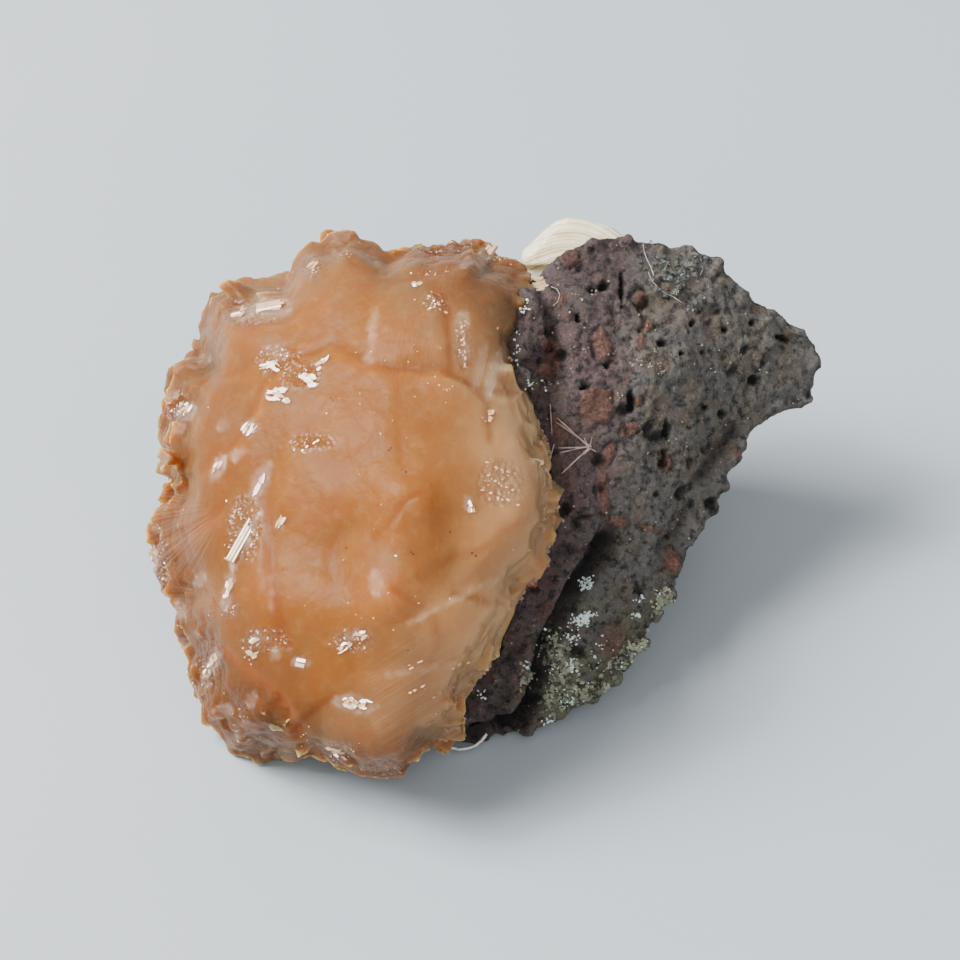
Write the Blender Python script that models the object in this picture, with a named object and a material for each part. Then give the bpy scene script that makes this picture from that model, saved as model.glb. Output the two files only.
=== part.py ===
"""Orange aragonite on basalt: a hand specimen of an orange cluster of crystal fans grown on dark,
vesicular lava, with a pale crystal sheaf, glassy crystals, a green druse, needles and a white rim.

The pieces are modelled in the frame of the display face, in millimetres: right and up along the
face, and out of it towards whoever looks at the specimen. settle() then leans the face back as the
stone lies on a table, and moves the part so that its origin is under its middle, at table height.
Run it with: blender --background --python part.py
"""

import math
import random

import bmesh
import bpy
from mathutils import Matrix, Vector, noise
from mathutils.bvhtree import BVHTree

MM = 0.001

# How the specimen lies
FACE_LEAN_DEG = 45.0  # the display face leans back this far from upright
TABLE_DROP = 26.5  # from the face frame's origin straight down to the table
CONTACT_GAP = 0.35  # between pieces that touch

# Orange cluster: the outer form that its crystal fans follow
CLUSTER_CENTRE = (-19.0, 0.0, -5.0)
CLUSTER_TILT = (0.42, -0.28)  # how fast its widest line comes forward to the right, and upwards
CLUSTER_FRONT = 25.0  # from the widest line to the foremost crystal
CLUSTER_BACK = 20.0
CLUSTER_BOXINESS = 0.82  # 1 is an ellipsoid, less is squarer
# Reach in the face plane every 15 degrees, anticlockwise from the right
CLUSTER_REACH = (
    30.6, 30.2, 28.7, 33.0, 43.0, 39.6, 40.4, 36.6, 37.8, 35.6, 33.6, 31.8,
    30.0, 31.8, 32.2, 35.2, 39.0, 38.6, 38.0, 39.2, 33.0, 30.0, 28.0, 29.4,
)
CORE_SHARE = 0.93  # the solid heart under the fans, as a share of the reach
FAN_THICKNESS = 6.0
FAN_EDGE = 1.3  # how far down the bevel round a fan's upper face goes

# Fans on the display face: root and tip (right, up), half spread in degrees, lift of root and tip
FRONT_FANS = (
    ((-1.0, -1.0), (11.6, -2.4), 32, -0.8, 1.4),
    ((1.0, 8.5), (10.8, 11.6), 34, -0.8, 1.3),
    ((-3.1, -8.7), (7.4, -11.4), 30, -0.8, 1.0),
    ((-6.4, -18.0), (3.6, -20.0), 33, -0.6, 1.4),
    ((-19.6, -31.7), (-3.0, -29.6), 29, -0.8, 1.3),
    ((-17.5, -27.1), (-12.8, -40.0), 28, -0.8, 1.2),
    ((-34.7, -1.9), (-48.4, -5.1), 32, -0.6, 1.4),
    ((-34.0, 8.2), (-45.4, 9.8), 30, -0.8, 1.1),
    ((-33.8, 16.7), (-43.9, 22.2), 31, -0.8, 1.2),
    ((-29.0, 23.9), (-39.6, 31.0), 32, -0.6, 1.2),
    ((-20.2, 28.0), (-20.6, 39.4), 34, -0.6, 1.3),
    ((-10.5, 27.4), (-7.7, 38.0), 32, -0.8, 1.0),
    ((-3.6, 26.4), (4.0, 36.8), 30, -0.6, 1.2),
    ((-34.0, -10.0), (-46.5, -15.2), 31, -0.8, 1.1),
    ((-33.5, -19.0), (-44.0, -25.8), 30, -0.6, 1.2),
    ((-30.0, -26.3), (-39.9, -35.4), 31, -0.8, 1.1),
    ((-25.7, -29.7), (-28.0, -39.2), 29, -0.8, 1.0),
    ((-27.0, 27.0), (-31.0, 37.0), 30, -0.8, 1.0),
    ((-30.0, 12.0), (-35.5, 3.0), 30, -0.2, 0.9),
    ((-20.0, 21.0), (-30.5, 25.0), 28, 0.0, 1.4),
    ((-12.0, 18.0), (-10.5, 29.0), 33, 0.0, 1.2),
    ((-4.0, 17.0), (3.6, 21.0), 34, 0.0, 1.3),
    ((-26.0, -12.0), (-33.5, -19.5), 28, -0.2, 1.0),
)
# Grown-together blocks of the display face: corners (right, up) and raised places inside them
FRONT_BLOCKS = (
    (((-31, 16), (-27, 19.5), (-21.5, 21), (-15.5, 19.5), (-5.5, 18), (2.5, 14.5), (3, 7), (0.5, -3),
      (-5.5, -7), (-15.5, -8.5), (-27.5, -10.5), (-30.5, -6), (-31, 5.5)),
     ((-23, 13), (-7, 11), (-10, 0), (-24, 0), (-16, 6))),
    (((-29.5, -11), (-21.5, -9), (-11.5, -9.5), (-9.5, -16.5), (-15.5, -21.5), (-22.5, -23),
      (-28.5, -20), (-30, -15)), ((-22, -14), (-17, -17))),
    (((-5.5, -7), (0.5, -3), (3, 6), (8.5, 4), (11, -2), (9, -7), (5.5, -13), (-1.5, -14.5),
      (-9, -14.5), (-10.5, -10)), ((0, -8.5), (5.5, -2.5))),
    (((-15.5, 28.5), (-7, 30), (-1.5, 26), (0, 16), (-5.5, 18), (-15.5, 19.5)), ((-8, 23.5),)),
    (((-27, 29.5), (-15.5, 28.5), (-15.5, 19.5), (-21.5, 21), (-27, 19.5), (-31, 22), (-32, 27)),
     ((-22.5, 25),)),
    (((-27, 32.5), (-21.5, 38.5), (-13, 35.5), (-7, 30), (-15.5, 28.5), (-27, 29.5)), ((-18.5, 33),)),
    (((-13, 35.5), (1.5, 37), (7, 33.5), (4.5, 25.5), (-1.5, 26), (-7, 30)), ((-2, 32),)),
    (((-1.5, 26), (4.5, 25.5), (4, 22), (4.5, 15.5), (9.5, 15), (10, 8.5), (3, 6), (2.5, 14.5),
      (0, 16)), ((3, 20), (6, 11))),
    (((-9, -14.5), (-1.5, -14.5), (5.5, -13), (3.5, -19.5), (1.5, -23), (-5.5, -24.5), (-11.5, -21.5),
      (-9.5, -16.5)), ((-3, -18.5),)),
    (((-27.5, -27), (-22.5, -23), (-15.5, -21.5), (-5.5, -24.5), (0.5, -24.5), (-2.5, -28), (-5.5, -34),
      (-11.5, -38.5), (-20, -37), (-27, -34)), ((-14, -28.5), (-11.5, -33.5))),
    (((-39, 28.5), (-31.5, 31), (-27, 29.5), (-32, 27), (-31, 22), (-31, 16), (-37, 14), (-43.5, 18.5),
      (-41, 24)), ((-36, 24.5),)),
    (((-43.5, 18.5), (-37, 14), (-31, 16), (-31, 5.5), (-36, 2.5), (-45, 2.5), (-45.5, 9)),
     ((-38.5, 9.5),)),
    (((-36, 2.5), (-31, 5.5), (-30.5, -6), (-34, -13), (-44.5, -13), (-46, -6), (-45, 1.5)),
     ((-39, -4.5),)),
    (((-44.5, -13), (-34, -13), (-30.5, -6), (-27.5, -10.5), (-30, -15), (-28.5, -20), (-34, -24.5),
      (-41, -24), (-42.5, -19.5)), ((-36, -17.5),)),
    (((-41, -24), (-34, -24.5), (-28.5, -20), (-22.5, -23), (-27.5, -27), (-27, -34), (-31, -36.5),
      (-36.5, -33), (-39, -27.5)), ((-33.5, -29.5),)),
)
BLOCK_RIM = -1.9  # lift of a block's corners over the cluster's outer form
BLOCK_PEAK = 1.2
BLOCK_OVERLAP = 0.7  # how far a block's corners reach into its neighbours
BLOCK_DEPTH = 9.0
FAN_FLARE = 1.35
RIM_FANS = 20
SIDE_FANS = 19
BACK_FANS = 11
HIND_FANS = 5

# Basalt: corners of its body, of its right tip and of its reddish front layer (right, up, out)
BODY_CORNERS = (
    (4.2, 15.5, 2.5), (3.2, 22.5, 3.0), (5.5, 30.0, 2.0), (12.0, 36.0, 0.0), (19.0, 38.2, -1.5),
    (30.0, 37.0, -4.0), (34.5, 34.6, -5.0), (39.8, 29.0, -7.0), (40.0, 9.6, -9.5),
    (36.0, 4.8, -8.5), (31.4, -2.4, -6.5), (30.0, -8.9, -5.5), (27.8, -14.8, -4.5),
    (21.6, -25.4, -3.0), (14.8, -30.8, -2.5), (3.0, -35.6, -1.5), (-6.0, -35.8, -1.0),
    (14.0, 16.0, 6.5), (20.0, 5.0, 4.5), (11.0, 26.0, 5.0), (30.0, 21.0, 0.2), (15.0, -10.0, 3.0),
    (8.0, -22.0, 2.0),
    (10.0, 34.0, -8.5), (28.0, 34.5, -15.0), (37.0, 25.5, -19.0), (35.0, 12.0, -24.0),
    (28.0, -1.0, -25.0), (2.0, 24.0, -13.0), (-6.0, 18.0, -24.0), (26.0, 15.0, -29.0),
    (10.0, 14.0, -38.0), (22.0, -2.0, -36.0), (19.0, -22.0, -17.0), (16.0, -12.0, -29.0),
    (0.0, 0.0, -41.0), (-12.0, -4.0, -37.0), (-13.0, -20.0, -22.0), (-9.0, -31.0, -10.0),
    (-14.0, 6.0, -28.0),
)
TIP_CORNERS = (
    (34.0, 33.0, -5.5), (45.0, 25.6, -9.5), (48.6, 24.2, -11.5), (50.6, 20.6, -12.5),
    (50.4, 16.2, -13.0), (48.0, 13.0, -13.0), (43.0, 11.4, -10.5), (34.0, 9.0, -6.5),
    (30.0, 24.0, -0.8), (30.0, 31.0, -14.0), (46.0, 23.0, -17.0), (47.6, 16.6, -17.5),
    (41.0, 12.4, -19.0), (32.0, 10.0, -22.0),
)
LAYER_CORNERS = (
    (4.0, 15.0, 5.0), (11.5, 9.5, 6.0), (17.4, -4.8, 6.0), (13.4, -13.5, 6.5), (9.2, -21.5, 6.0),
    (7.4, -27.5, 5.0), (2.6, -33.4, 3.0), (-5.4, -35.4, 1.5), (4.0, 14.0, -8.0),
    (16.0, -5.0, -6.0), (8.4, -22.0, -5.0), (2.6, -33.0, -6.0), (-7.0, -33.0, -8.0),
    (-9.0, 9.0, -6.0), (-10.5, -10.0, -4.0), (-9.5, -27.0, -2.0),
)
# The shadowed cleft between the layer and the body: right, up, out, half width
CLEFT = (
    (19.5, -2.5, 5.2, 0.7), (17.0, -7.4, 4.6, 1.1), (12.6, -14.6, 4.4, 1.3), (9.9, -21.6, 4.0, 1.4),
    (8.6, -27.2, 2.4, 1.6), (5.4, -31.6, 1.4, 1.9), (1.0, -36.6, 0.4, 1.8),
)
CLEFT_DEPTH = 2.6  # times its half width
ROCK_GRAIN = 1.0  # finest form of the rock that is modelled
ROCK_FACETS = 1050
ROCK_ROUGHNESS = 1.1  # depth of its broken surface
ROCK_SKIN = 0.3  # least depth that the surface is broken to
ROCK_LUMP = 5.5  # size of the lumps there
# Vesicles on the display face: right, up, radius
VESICLES = (
    (16.3, 20.6, 1.0), (13.9, 25.8, 0.9), (27.2, 16.2, 0.9), (31.5, 12.6, 1.2), (21.3, 12.9, 1.0),
    (35.0, 20.5, 1.0), (30.4, 2.2, 1.1), (24.6, 7.0, 1.0), (19.0, 26.4, 1.0), (9.6, 21.3, 1.0),
    (38.6, 15.5, 1.0), (23.0, 30.2, 0.9), (12.4, 6.4, 0.9), (22.4, -8.6, 1.0), (17.6, 2.0, 0.9),
    (41.8, 20.5, 0.9), (8.6, 28.0, 0.9), (26.0, 24.6, 0.9), (12.6, -25.4, 1.0), (19.6, -17.4, 1.0),
    (33.4, 27.0, 1.0), (27.6, -4.0, 1.0), (10.4, 0.6, 0.9), (12.8, -6.4, 0.9), (36.0, 9.6, 1.0),
)
BACK_VESICLES = 8
BACK_RIGHT = (12.0, 44.0)
BACK_UP = (-8.0, 30.0)
BACK_VESICLE_RADII = (0.9, 1.7)

# Pale sheaf behind the rock's top edge: root, reach and lean to the right
PALE_ROOT = (15.0, 19.0, -10.2)
PALE_REACH = 21.0
PALE_HALF_SPREAD_DEG = 22
PALE_LEAN = -0.10
PALE_LEAVES = 5
PALE_LEAF = 1.7  # thickness
PALE_STEP = (0.5, -1.0, -1.45)  # from each leaf to the next one behind it

# Small crystals
CRUST_THICKNESS = 0.9  # above the rock
# Glassy crystals: right, up and radius of the lumps that they stand on
GLASS_LUMPS = (
    (24.8, 31.6, 1.8), (26.6, 33.0, 2.0), (28.4, 33.2, 2.2), (30.4, 32.4, 2.0), (29.0, 30.8, 1.8),
)
GLASS_CRYSTALS = 8
GLASS_LENGTH = 2.6
# Green druse: right, up and radius of the lumps of its crust
DRUSE_LUMPS = (
    (10.6, -28.0, 2.0), (12.6, -25.6, 2.6), (14.0, -22.4, 2.4), (15.6, -25.6, 2.2), (16.6, -21.0, 2.6),
    (18.6, -23.2, 2.6), (19.6, -19.4, 2.8), (21.6, -21.4, 2.4), (22.6, -17.4, 2.6), (24.4, -19.0, 2.2),
    (24.6, -14.8, 2.0), (15.0, -17.6, 2.0), (13.4, -28.4, 1.8),
)
DRUSE_CRYSTALS = 11
DRUSE_LENGTH = 1.5
# White rim: right, up and radius of its lumps
RIM_LUMPS = (
    (-5.6, -34.4, 1.2), (-4.2, -34.8, 1.2), (-2.8, -35.0, 1.2), (-1.4, -35.0, 1.2), (0.0, -34.8, 1.1),
)
NEEDLE_HALF_WIDTH = 0.25
NEEDLE_HUB = (15.6, 7.4)
NEEDLE_TIPS = ((10.8, 11.3), (11.1, 7.3), (11.4, 4.6), (13.8, 12.8), (17.4, 3.2))
NEEDLE_LIFT = (0.7, 1.6)  # of the hub and of the tips, over the rock


def face(right, up, out=0.0):
    """A point of the face frame, in metres."""
    return Vector((right, up, out)) * MM


def shape(build):
    """A loose mesh object made by a function that fills a bmesh."""
    bm = bmesh.new()
    build(bm)
    bmesh.ops.triangulate(bm, faces=bm.faces)
    bmesh.ops.recalc_face_normals(bm, faces=bm.faces)
    mesh = bpy.data.meshes.new("shape")
    bm.to_mesh(mesh)
    bm.free()
    return bpy.data.objects.new("shape", mesh)


def hull(points):
    """The convex hull of points in metres."""

    def build(bm):
        for point in points:
            bm.verts.new(point)
        bmesh.ops.convex_hull(bm, input=bm.verts)
        spare = [v for v in bm.verts if not v.link_faces]
        bmesh.ops.delete(bm, geom=spare, context="VERTS")

    return shape(build)


def ball(centre, radius, squash=(1.0, 1.0, 1.0), detail=1):
    """A faceted ball, stretched by squash along each axis."""

    def build(bm):
        bmesh.ops.create_icosphere(bm, subdivisions=detail, radius=radius)
        bmesh.ops.scale(bm, vec=squash, verts=bm.verts)
        bmesh.ops.translate(bm, vec=centre, verts=bm.verts)

    return shape(build)


def loft(rings):
    """A closed solid through rings of points, each joined to the next, with flat ends."""

    def build(bm):
        made = [[bm.verts.new(point) for point in ring] for ring in rings]
        for low, high in zip(made, made[1:]):
            for side in range(len(low)):
                after = (side + 1) % len(low)
                bm.faces.new((low[side], low[after], high[after], high[side]))
        bm.faces.new(made[0])
        bm.faces.new(made[-1])

    return shape(build)


def plate(outline, thickness, place, flare=1.0, edge=0.0):
    """A crystal plate: its upper face lies in the plane of place, and its foot is flare times as wide.

    A bevel runs round the upper face, as deep as edge.
    """
    middle = sum((Vector(corner) for corner in outline), Vector((0.0, 0.0))) / len(outline)

    def ring(share, depth):
        flat = [middle + (Vector(corner) - middle) * share for corner in outline]
        return [place @ Vector((corner.x, corner.y, -depth)) for corner in flat]

    rings = [ring(1.0, edge), ring(flare, thickness)]
    if edge > 0.0:
        reach = max((Vector(corner) - middle).length for corner in outline)
        rings.insert(0, ring(1.0 - 0.9 * edge / reach, 0.0))
    return loft(rings)


def modified(solid, kind, **settings):
    """The solid after one modifier."""
    bpy.context.scene.collection.objects.link(solid)
    step = solid.modifiers.new(kind, kind)
    for name, value in settings.items():
        setattr(step, name, value)
    bpy.context.view_layer.update()
    graph = bpy.context.evaluated_depsgraph_get()
    mesh = bpy.data.meshes.new_from_object(solid.evaluated_get(graph))
    bpy.data.objects.remove(solid)
    return bpy.data.objects.new("shape", mesh)


def combine(base, others, operation):
    """base joined with, or cut by, the other shapes. All of them are used up.

    Where dozens of fans cross at all angles, the exact solver leaves open edges, so this is
    the manifold one.
    """
    group = bpy.data.collections.new("others")
    for other in others:
        group.objects.link(other)
    bpy.context.scene.collection.children.link(group)
    settings = {"operation": operation, "operand_type": "COLLECTION", "collection": group}
    made = modified(base, "BOOLEAN", solver="MANIFOLD", **settings)
    for used in others:
        bpy.data.objects.remove(used)
    bpy.data.collections.remove(group)
    return made


def edit(solid, change):
    """Runs a change on the solid's mesh as a bmesh."""
    bm = bmesh.new()
    bm.from_mesh(solid.data)
    change(bm)
    bm.to_mesh(solid.data)
    bm.free()
    return solid


def pieces_of(bm):
    """The bmesh's faces, grouped into connected pieces."""
    left = set(bm.faces)
    pieces = []
    while left:
        found = {left.pop()}
        edge_of = list(found)
        while edge_of:
            near = {f for e in edge_of.pop().edges for f in e.link_faces} - found
            found |= near
            edge_of.extend(near)
        left -= found
        pieces.append(found)
    return pieces


def triangulate(bm):
    """Cuts every face into triangles."""
    bmesh.ops.triangulate(bm, faces=bm.faces, ngon_method="EAR_CLIP")


def cut_at_table(bm):
    """Takes off what would pass below the table, and closes the cut flat."""
    lean = math.radians(90.0 - FACE_LEAN_DEG)
    upwards = Vector((0.0, math.sin(lean), math.cos(lean)))
    everything = [*bm.verts, *bm.edges, *bm.faces]
    made = bmesh.ops.bisect_plane(
        bm, geom=everything, plane_co=upwards * -TABLE_DROP * MM, plane_no=upwards, clear_inner=True
    )
    rim = [e for e in made["geom_cut"] if isinstance(e, bmesh.types.BMEdge)]
    bmesh.ops.holes_fill(bm, edges=rim)
    bmesh.ops.triangulate(bm, faces=bm.faces)


def tidy(solid, flat_deg=1.0):
    """Keeps the largest piece, and joins faces that lie in one plane."""

    def change(bm):
        pieces = sorted(pieces_of(bm), key=len)
        for crumb in pieces[:-1]:
            bmesh.ops.delete(bm, geom=list(crumb), context="FACES")
        spare = [v for v in bm.verts if not v.link_faces]
        bmesh.ops.delete(bm, geom=spare, context="VERTS")
        flat = math.radians(flat_deg)
        edges, verts = bm.edges[:], bm.verts[:]
        bmesh.ops.dissolve_limit(bm, angle_limit=flat, verts=verts, edges=edges, delimit={"NORMAL"})
        triangulate(bm)

    return edit(solid, change)


def place_on(origin, along, normal):
    """A matrix whose X runs along, and whose Z is as near to normal as that allows."""
    x = along.normalized()
    y = normal.cross(x).normalized()
    z = x.cross(y)
    return Matrix.Translation(origin) @ Matrix((x, y, z)).transposed().to_4x4()


def surface_finder(solid):
    """A function that gives the solid's foremost point and its normal at a place on the face.

    With side -1.0 it gives the hindmost one.
    """
    bm = bmesh.new()
    bm.from_mesh(solid.data)
    tree = BVHTree.FromBMesh(bm)
    bm.free()

    def find(right, up, side=1.0):
        start = face(right, up, 60.0 * side)
        point, normal, _, _ = tree.ray_cast(start, Vector((0.0, 0.0, -side)))
        return point, normal

    return find


def table():
    """A block that fills the space under the table's surface."""
    lean = math.radians(90.0 - FACE_LEAN_DEG)

    def build(bm):
        bmesh.ops.create_cube(bm, size=400.0 * MM)
        down = face(0.0, 0.0, -200.0 - TABLE_DROP)
        bmesh.ops.translate(bm, vec=down, verts=bm.verts)
        bmesh.ops.rotate(bm, matrix=Matrix.Rotation(-lean, 3, "X"), verts=bm.verts)

    return shape(build)


# Basalt


def rock_blocks(grow=0.0):
    """The rock's body, tip and layer as plain blocks, each corner moved out by grow millimetres."""
    blocks = []
    for corners in (BODY_CORNERS, TIP_CORNERS, LAYER_CORNERS):
        middle = sum((face(*corner) for corner in corners), Vector()) / len(corners)
        moved = []
        for corner in corners:
            point = face(*corner)
            moved.append(point + (point - middle).normalized() * grow * MM)
        blocks.append(hull(moved))
    return blocks


def plain_rock():
    """The rock's blocks joined, before its surface is broken up."""
    body, *others = rock_blocks()
    return combine(body, others, "UNION")


def roughen(bm):
    """Breaks the rock's surface into lumps. It only moves inwards, so neighbours stay clear."""
    bm.normal_update()
    moves = []
    for vert in bm.verts:
        lump = noise.noise(vert.co / (ROCK_LUMP * MM))
        chip = noise.noise(vert.co / (0.4 * ROCK_LUMP * MM) + Vector((7.0, 0.0, 0.0)))
        depth = ROCK_ROUGHNESS * (0.55 + 0.55 * lump + 0.35 * chip)
        moves.append(vert.normal * -max(depth, ROCK_SKIN) * MM)
    for vert, move in zip(bm.verts, moves):
        vert.co += move


def cleft():
    """The cleft, as one cutter along its course that is deeper than it is wide."""
    rings = []
    for right, up, out, half_width in CLEFT:
        ring = []
        for step in range(6):
            turn = math.tau * step / 6
            side = half_width * math.cos(turn)
            depth = half_width * CLEFT_DEPTH * math.sin(turn)
            ring.append(face(right + side, up + 0.5 * side, out + depth))
        rings.append(ring)
    return loft(rings)


def vesicles(find):
    """Gas bubbles that the broken surface cuts open, at chosen places in front and spread behind."""
    pits = []
    for right, up, radius in VESICLES:
        point, normal = find(right, up)
        pits.append(ball(point + normal * 0.1 * radius * MM, radius * MM, (1.0, 1.3, 1.0)))
    draw = random.Random(5)
    while len(pits) < len(VESICLES) + BACK_VESICLES:
        place = (draw.uniform(*BACK_RIGHT), draw.uniform(*BACK_UP))
        point, normal = find(*place, -1.0)
        if point is not None:
            radius = draw.uniform(*BACK_VESICLE_RADII)
            pits.append(ball(point + normal * 0.1 * radius * MM, radius * MM, (1.2, 1.0, 1.0)))
    return pits


def basalt():
    """The rock: joined blocks with a broken surface, a cleft and vesicles."""
    cut = combine(plain_rock(), [cleft()], "DIFFERENCE")
    lumpy = edit(modified(cut, "REMESH", mode="VOXEL", voxel_size=ROCK_GRAIN * MM), roughen)
    edit(lumpy, triangulate)
    share = ROCK_FACETS / len(lumpy.data.polygons)
    rock = edit(modified(lumpy, "DECIMATE", ratio=share), cut_at_table)
    pits = vesicles(surface_finder(rock))
    within = combine(rock, [plain_rock()], "INTERSECT")
    return tidy(combine(within, pits, "DIFFERENCE"))


# Orange cluster


def reach_towards(turn):
    """The cluster's reach in the face plane towards an angle in radians, in millimetres."""
    place = (turn / math.tau % 1.0) * len(CLUSTER_REACH)
    low = int(place) % len(CLUSTER_REACH)
    high = (low + 1) % len(CLUSTER_REACH)
    share = place - int(place)
    return CLUSTER_REACH[low] * (1.0 - share) + CLUSTER_REACH[high] * share


def cluster_point(turn, climb, share=1.0):
    """A point of the cluster's outer form: turn round the face, climb from -90 to 90 degrees."""
    flat = max(math.cos(climb), 0.0) ** CLUSTER_BOXINESS * reach_towards(turn) * share
    height = CLUSTER_FRONT if climb > 0.0 else -CLUSTER_BACK
    out = abs(math.sin(climb)) ** CLUSTER_BOXINESS * height * share
    right = flat * math.cos(turn)
    up = flat * math.sin(turn)
    lean = CLUSTER_TILT[0] * right + CLUSTER_TILT[1] * up
    centre = CLUSTER_CENTRE
    return face(centre[0] + right, centre[1] + up, centre[2] + out + lean)


def on_front(right, up, lift=0.0):
    """The point of the cluster's front over a place on the face, lifted by so many millimetres."""
    right -= CLUSTER_CENTRE[0]
    up -= CLUSTER_CENTRE[1]
    turn = math.atan2(up, right)
    flat = min(math.hypot(right, up) / reach_towards(turn), 1.0)
    climb = math.acos(flat ** (1.0 / CLUSTER_BOXINESS))
    return cluster_point(turn, max(climb, 0.001)) + face(0.0, 0.0, lift)


def away_from_heart(point):
    """The cluster's outward direction at a point near its surface."""
    offset = point - face(*CLUSTER_CENTRE)
    offset.z -= CLUSTER_TILT[0] * offset.x + CLUSTER_TILT[1] * offset.y
    turn = math.atan2(offset.y, offset.x)
    reach = reach_towards(turn) * MM
    depth = (CLUSTER_FRONT if offset.z > 0.0 else CLUSTER_BACK) * MM
    steep = Vector((offset.x / reach**2, offset.y / reach**2, offset.z / depth**2))
    steep.x -= CLUSTER_TILT[0] * steep.z
    steep.y -= CLUSTER_TILT[1] * steep.z
    return steep.normalized()


def fan_outline(length, half_spread, blades, draw):
    """A sheaf of blunt blades side by side, spreading from a narrow root at 0, 0 along X."""
    neck = 0.16 * length
    outline = [(-0.15 * length, neck), (-0.15 * length, -neck)]
    width = 2.0 * half_spread / blades
    for blade in range(blades):
        start = -half_spread + blade * width
        middle = start + width * draw.uniform(0.4, 0.6)
        reach = length * draw.uniform(0.92, 1.0) * (1.0 - 0.10 * (middle / half_spread) ** 2)
        blunt = ((start + 0.12 * width, 0.955), (middle, 1.0), (start + 0.88 * width, 0.95))
        for turn, share in blunt:
            outline.append((reach * share * math.cos(turn), reach * share * math.sin(turn)))
        if blade < blades - 1:
            notch = 0.86 * length
            turn = start + width
            outline.append((notch * math.cos(turn), notch * math.sin(turn)))
    return outline


def fan(root, tip, half_spread_deg, blades, draw, edge=FAN_EDGE):
    """A crystal fan whose upper face runs from root to tip and looks away from the heart."""
    along = tip - root
    outline = fan_outline(along.length, math.radians(half_spread_deg), blades, draw)
    normal = away_from_heart((root + tip) / 2)
    place = place_on(root, along, normal)
    return plate(outline, FAN_THICKNESS * MM, place, FAN_FLARE if edge else 1.0, edge * MM)


def front_fans(draw):
    """The fans placed by hand on the display face."""
    fans = []
    for root, tip, spread, root_lift, tip_lift in FRONT_FANS:
        start = on_front(*root, root_lift)
        end = on_front(*tip, tip_lift)
        fans.append(fan(start, end, spread, draw.choice((3, 4)), draw))
    return fans


def front_blocks():
    """The blocks in the middle of the display face: faceted domes that meet in creases."""
    blocks = []
    for corners, peaks in FRONT_BLOCKS:
        middle = sum((Vector(corner) for corner in corners), Vector((0.0, 0.0))) / len(corners)
        wider = [Vector(c) + (Vector(c) - middle).normalized() * BLOCK_OVERLAP for c in corners]
        rim = [on_front(*corner, BLOCK_RIM) for corner in wider]
        raised = [on_front(*peak, BLOCK_PEAK) for peak in peaks]
        heart = face(*CLUSTER_CENTRE)
        foot = [point.lerp(heart, BLOCK_DEPTH * MM / (point - heart).length) for point in rim]
        blocks.append(hull(rim + raised + foot))
    return blocks


def ring_fans(count, climb_deg, tip_drop_deg, inset, draw):
    """Fans in a ring, at a climb on the cluster, each tip nearer the widest line than its root."""
    fans = []
    for number in range(count):
        turn = math.tau * (number + draw.uniform(-0.25, 0.25)) / count
        climb = math.radians(climb_deg + draw.uniform(-7.0, 7.0))
        tip_climb = climb - math.copysign(math.radians(tip_drop_deg), climb_deg)
        tip = cluster_point(turn, tip_climb, draw.uniform(0.965, 1.0))
        root = cluster_point(turn + draw.uniform(-0.12, 0.12), climb, inset)
        fans.append(fan(root, tip, draw.uniform(17, 25), draw.choice((2, 3)), draw, edge=0.0))
    return fans


def core():
    """The solid heart of the cluster."""

    def build(bm):
        bmesh.ops.create_icosphere(bm, subdivisions=2, radius=1.0)
        for vert in bm.verts:
            turn = math.atan2(vert.co.y, vert.co.x)
            vert.co = cluster_point(turn, math.asin(max(-1.0, min(1.0, vert.co.z))), CORE_SHARE)

    return shape(build)


def orange_cluster():
    """Crystal fans on a common heart, grown against the rock and the pale sheaf."""
    draw = random.Random(17)
    fans = front_fans(draw) + front_blocks()
    fans += ring_fans(RIM_FANS, 38.0, 36.0, 0.93, draw)
    fans += ring_fans(SIDE_FANS, -30.0, 26.0, 0.92, draw)
    fans += ring_fans(BACK_FANS, -58.0, 30.0, 0.95, draw)
    fans += ring_fans(HIND_FANS, -84.0, 30.0, 0.97, draw)
    cluster = combine(core(), fans, "UNION")
    cutters = [table(), *rock_blocks(CONTACT_GAP), *pale_leaves(CONTACT_GAP)]
    return tidy(combine(cluster, cutters, "DIFFERENCE"))


# Pale sheaf


def pale_leaves(grow=0.0):
    """The sheaf's leaves from front to back, each moved out by grow millimetres."""
    leaves = []
    half_spread = math.radians(PALE_HALF_SPREAD_DEG)
    for leaf in range(PALE_LEAVES):
        reach = PALE_REACH + grow
        neck = 3.0 + grow
        outline = [(-1.0, neck), (-1.0, -neck)]
        for step in range(9):
            side = step / 4 - 1
            turn = half_spread * side
            blunt = 1.0 - 0.06 * (side + 0.2) ** 2
            tip = reach * blunt
            outline.append((tip * math.cos(turn), tip * math.sin(turn) + grow * side))
        outline = [(x * MM, y * MM) for x, y in outline]
        front = face(*PALE_ROOT) + Vector(PALE_STEP) * leaf * MM + face(0.0, 0.0, grow)
        along = Vector((PALE_LEAN + 0.03 * leaf, 1.0, -0.06))
        place = place_on(front, along, Vector((0.0, 0.06, 1.0)))
        leaves.append(plate(outline, (PALE_LEAF + 2.0 * grow) * MM, place))
    return leaves


def pale_sheaf():
    """Curved cream leaves one behind another, fused, on the rock's back."""
    first, *others = pale_leaves()
    sheaf = combine(first, others, "UNION")
    return tidy(combine(sheaf, rock_blocks(CONTACT_GAP), "DIFFERENCE"))


# Small crystals on the rock


def flat_ball(point, radius, thickness, normal):
    """A faceted ball flattened along a direction."""
    place = place_on(point, normal.orthogonal(), normal)

    def build(bm):
        bmesh.ops.create_icosphere(bm, subdivisions=1, radius=1.0)
        bmesh.ops.scale(bm, vec=(radius * MM, radius * MM, thickness * MM), verts=bm.verts)
        bmesh.ops.transform(bm, matrix=place, verts=bm.verts)

    return shape(build)


def any_way(draw):
    """A drawn vector whose parts are between -1 and 1."""
    return Vector((draw.uniform(-1, 1), draw.uniform(-1, 1), draw.uniform(-1, 1)))


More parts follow.
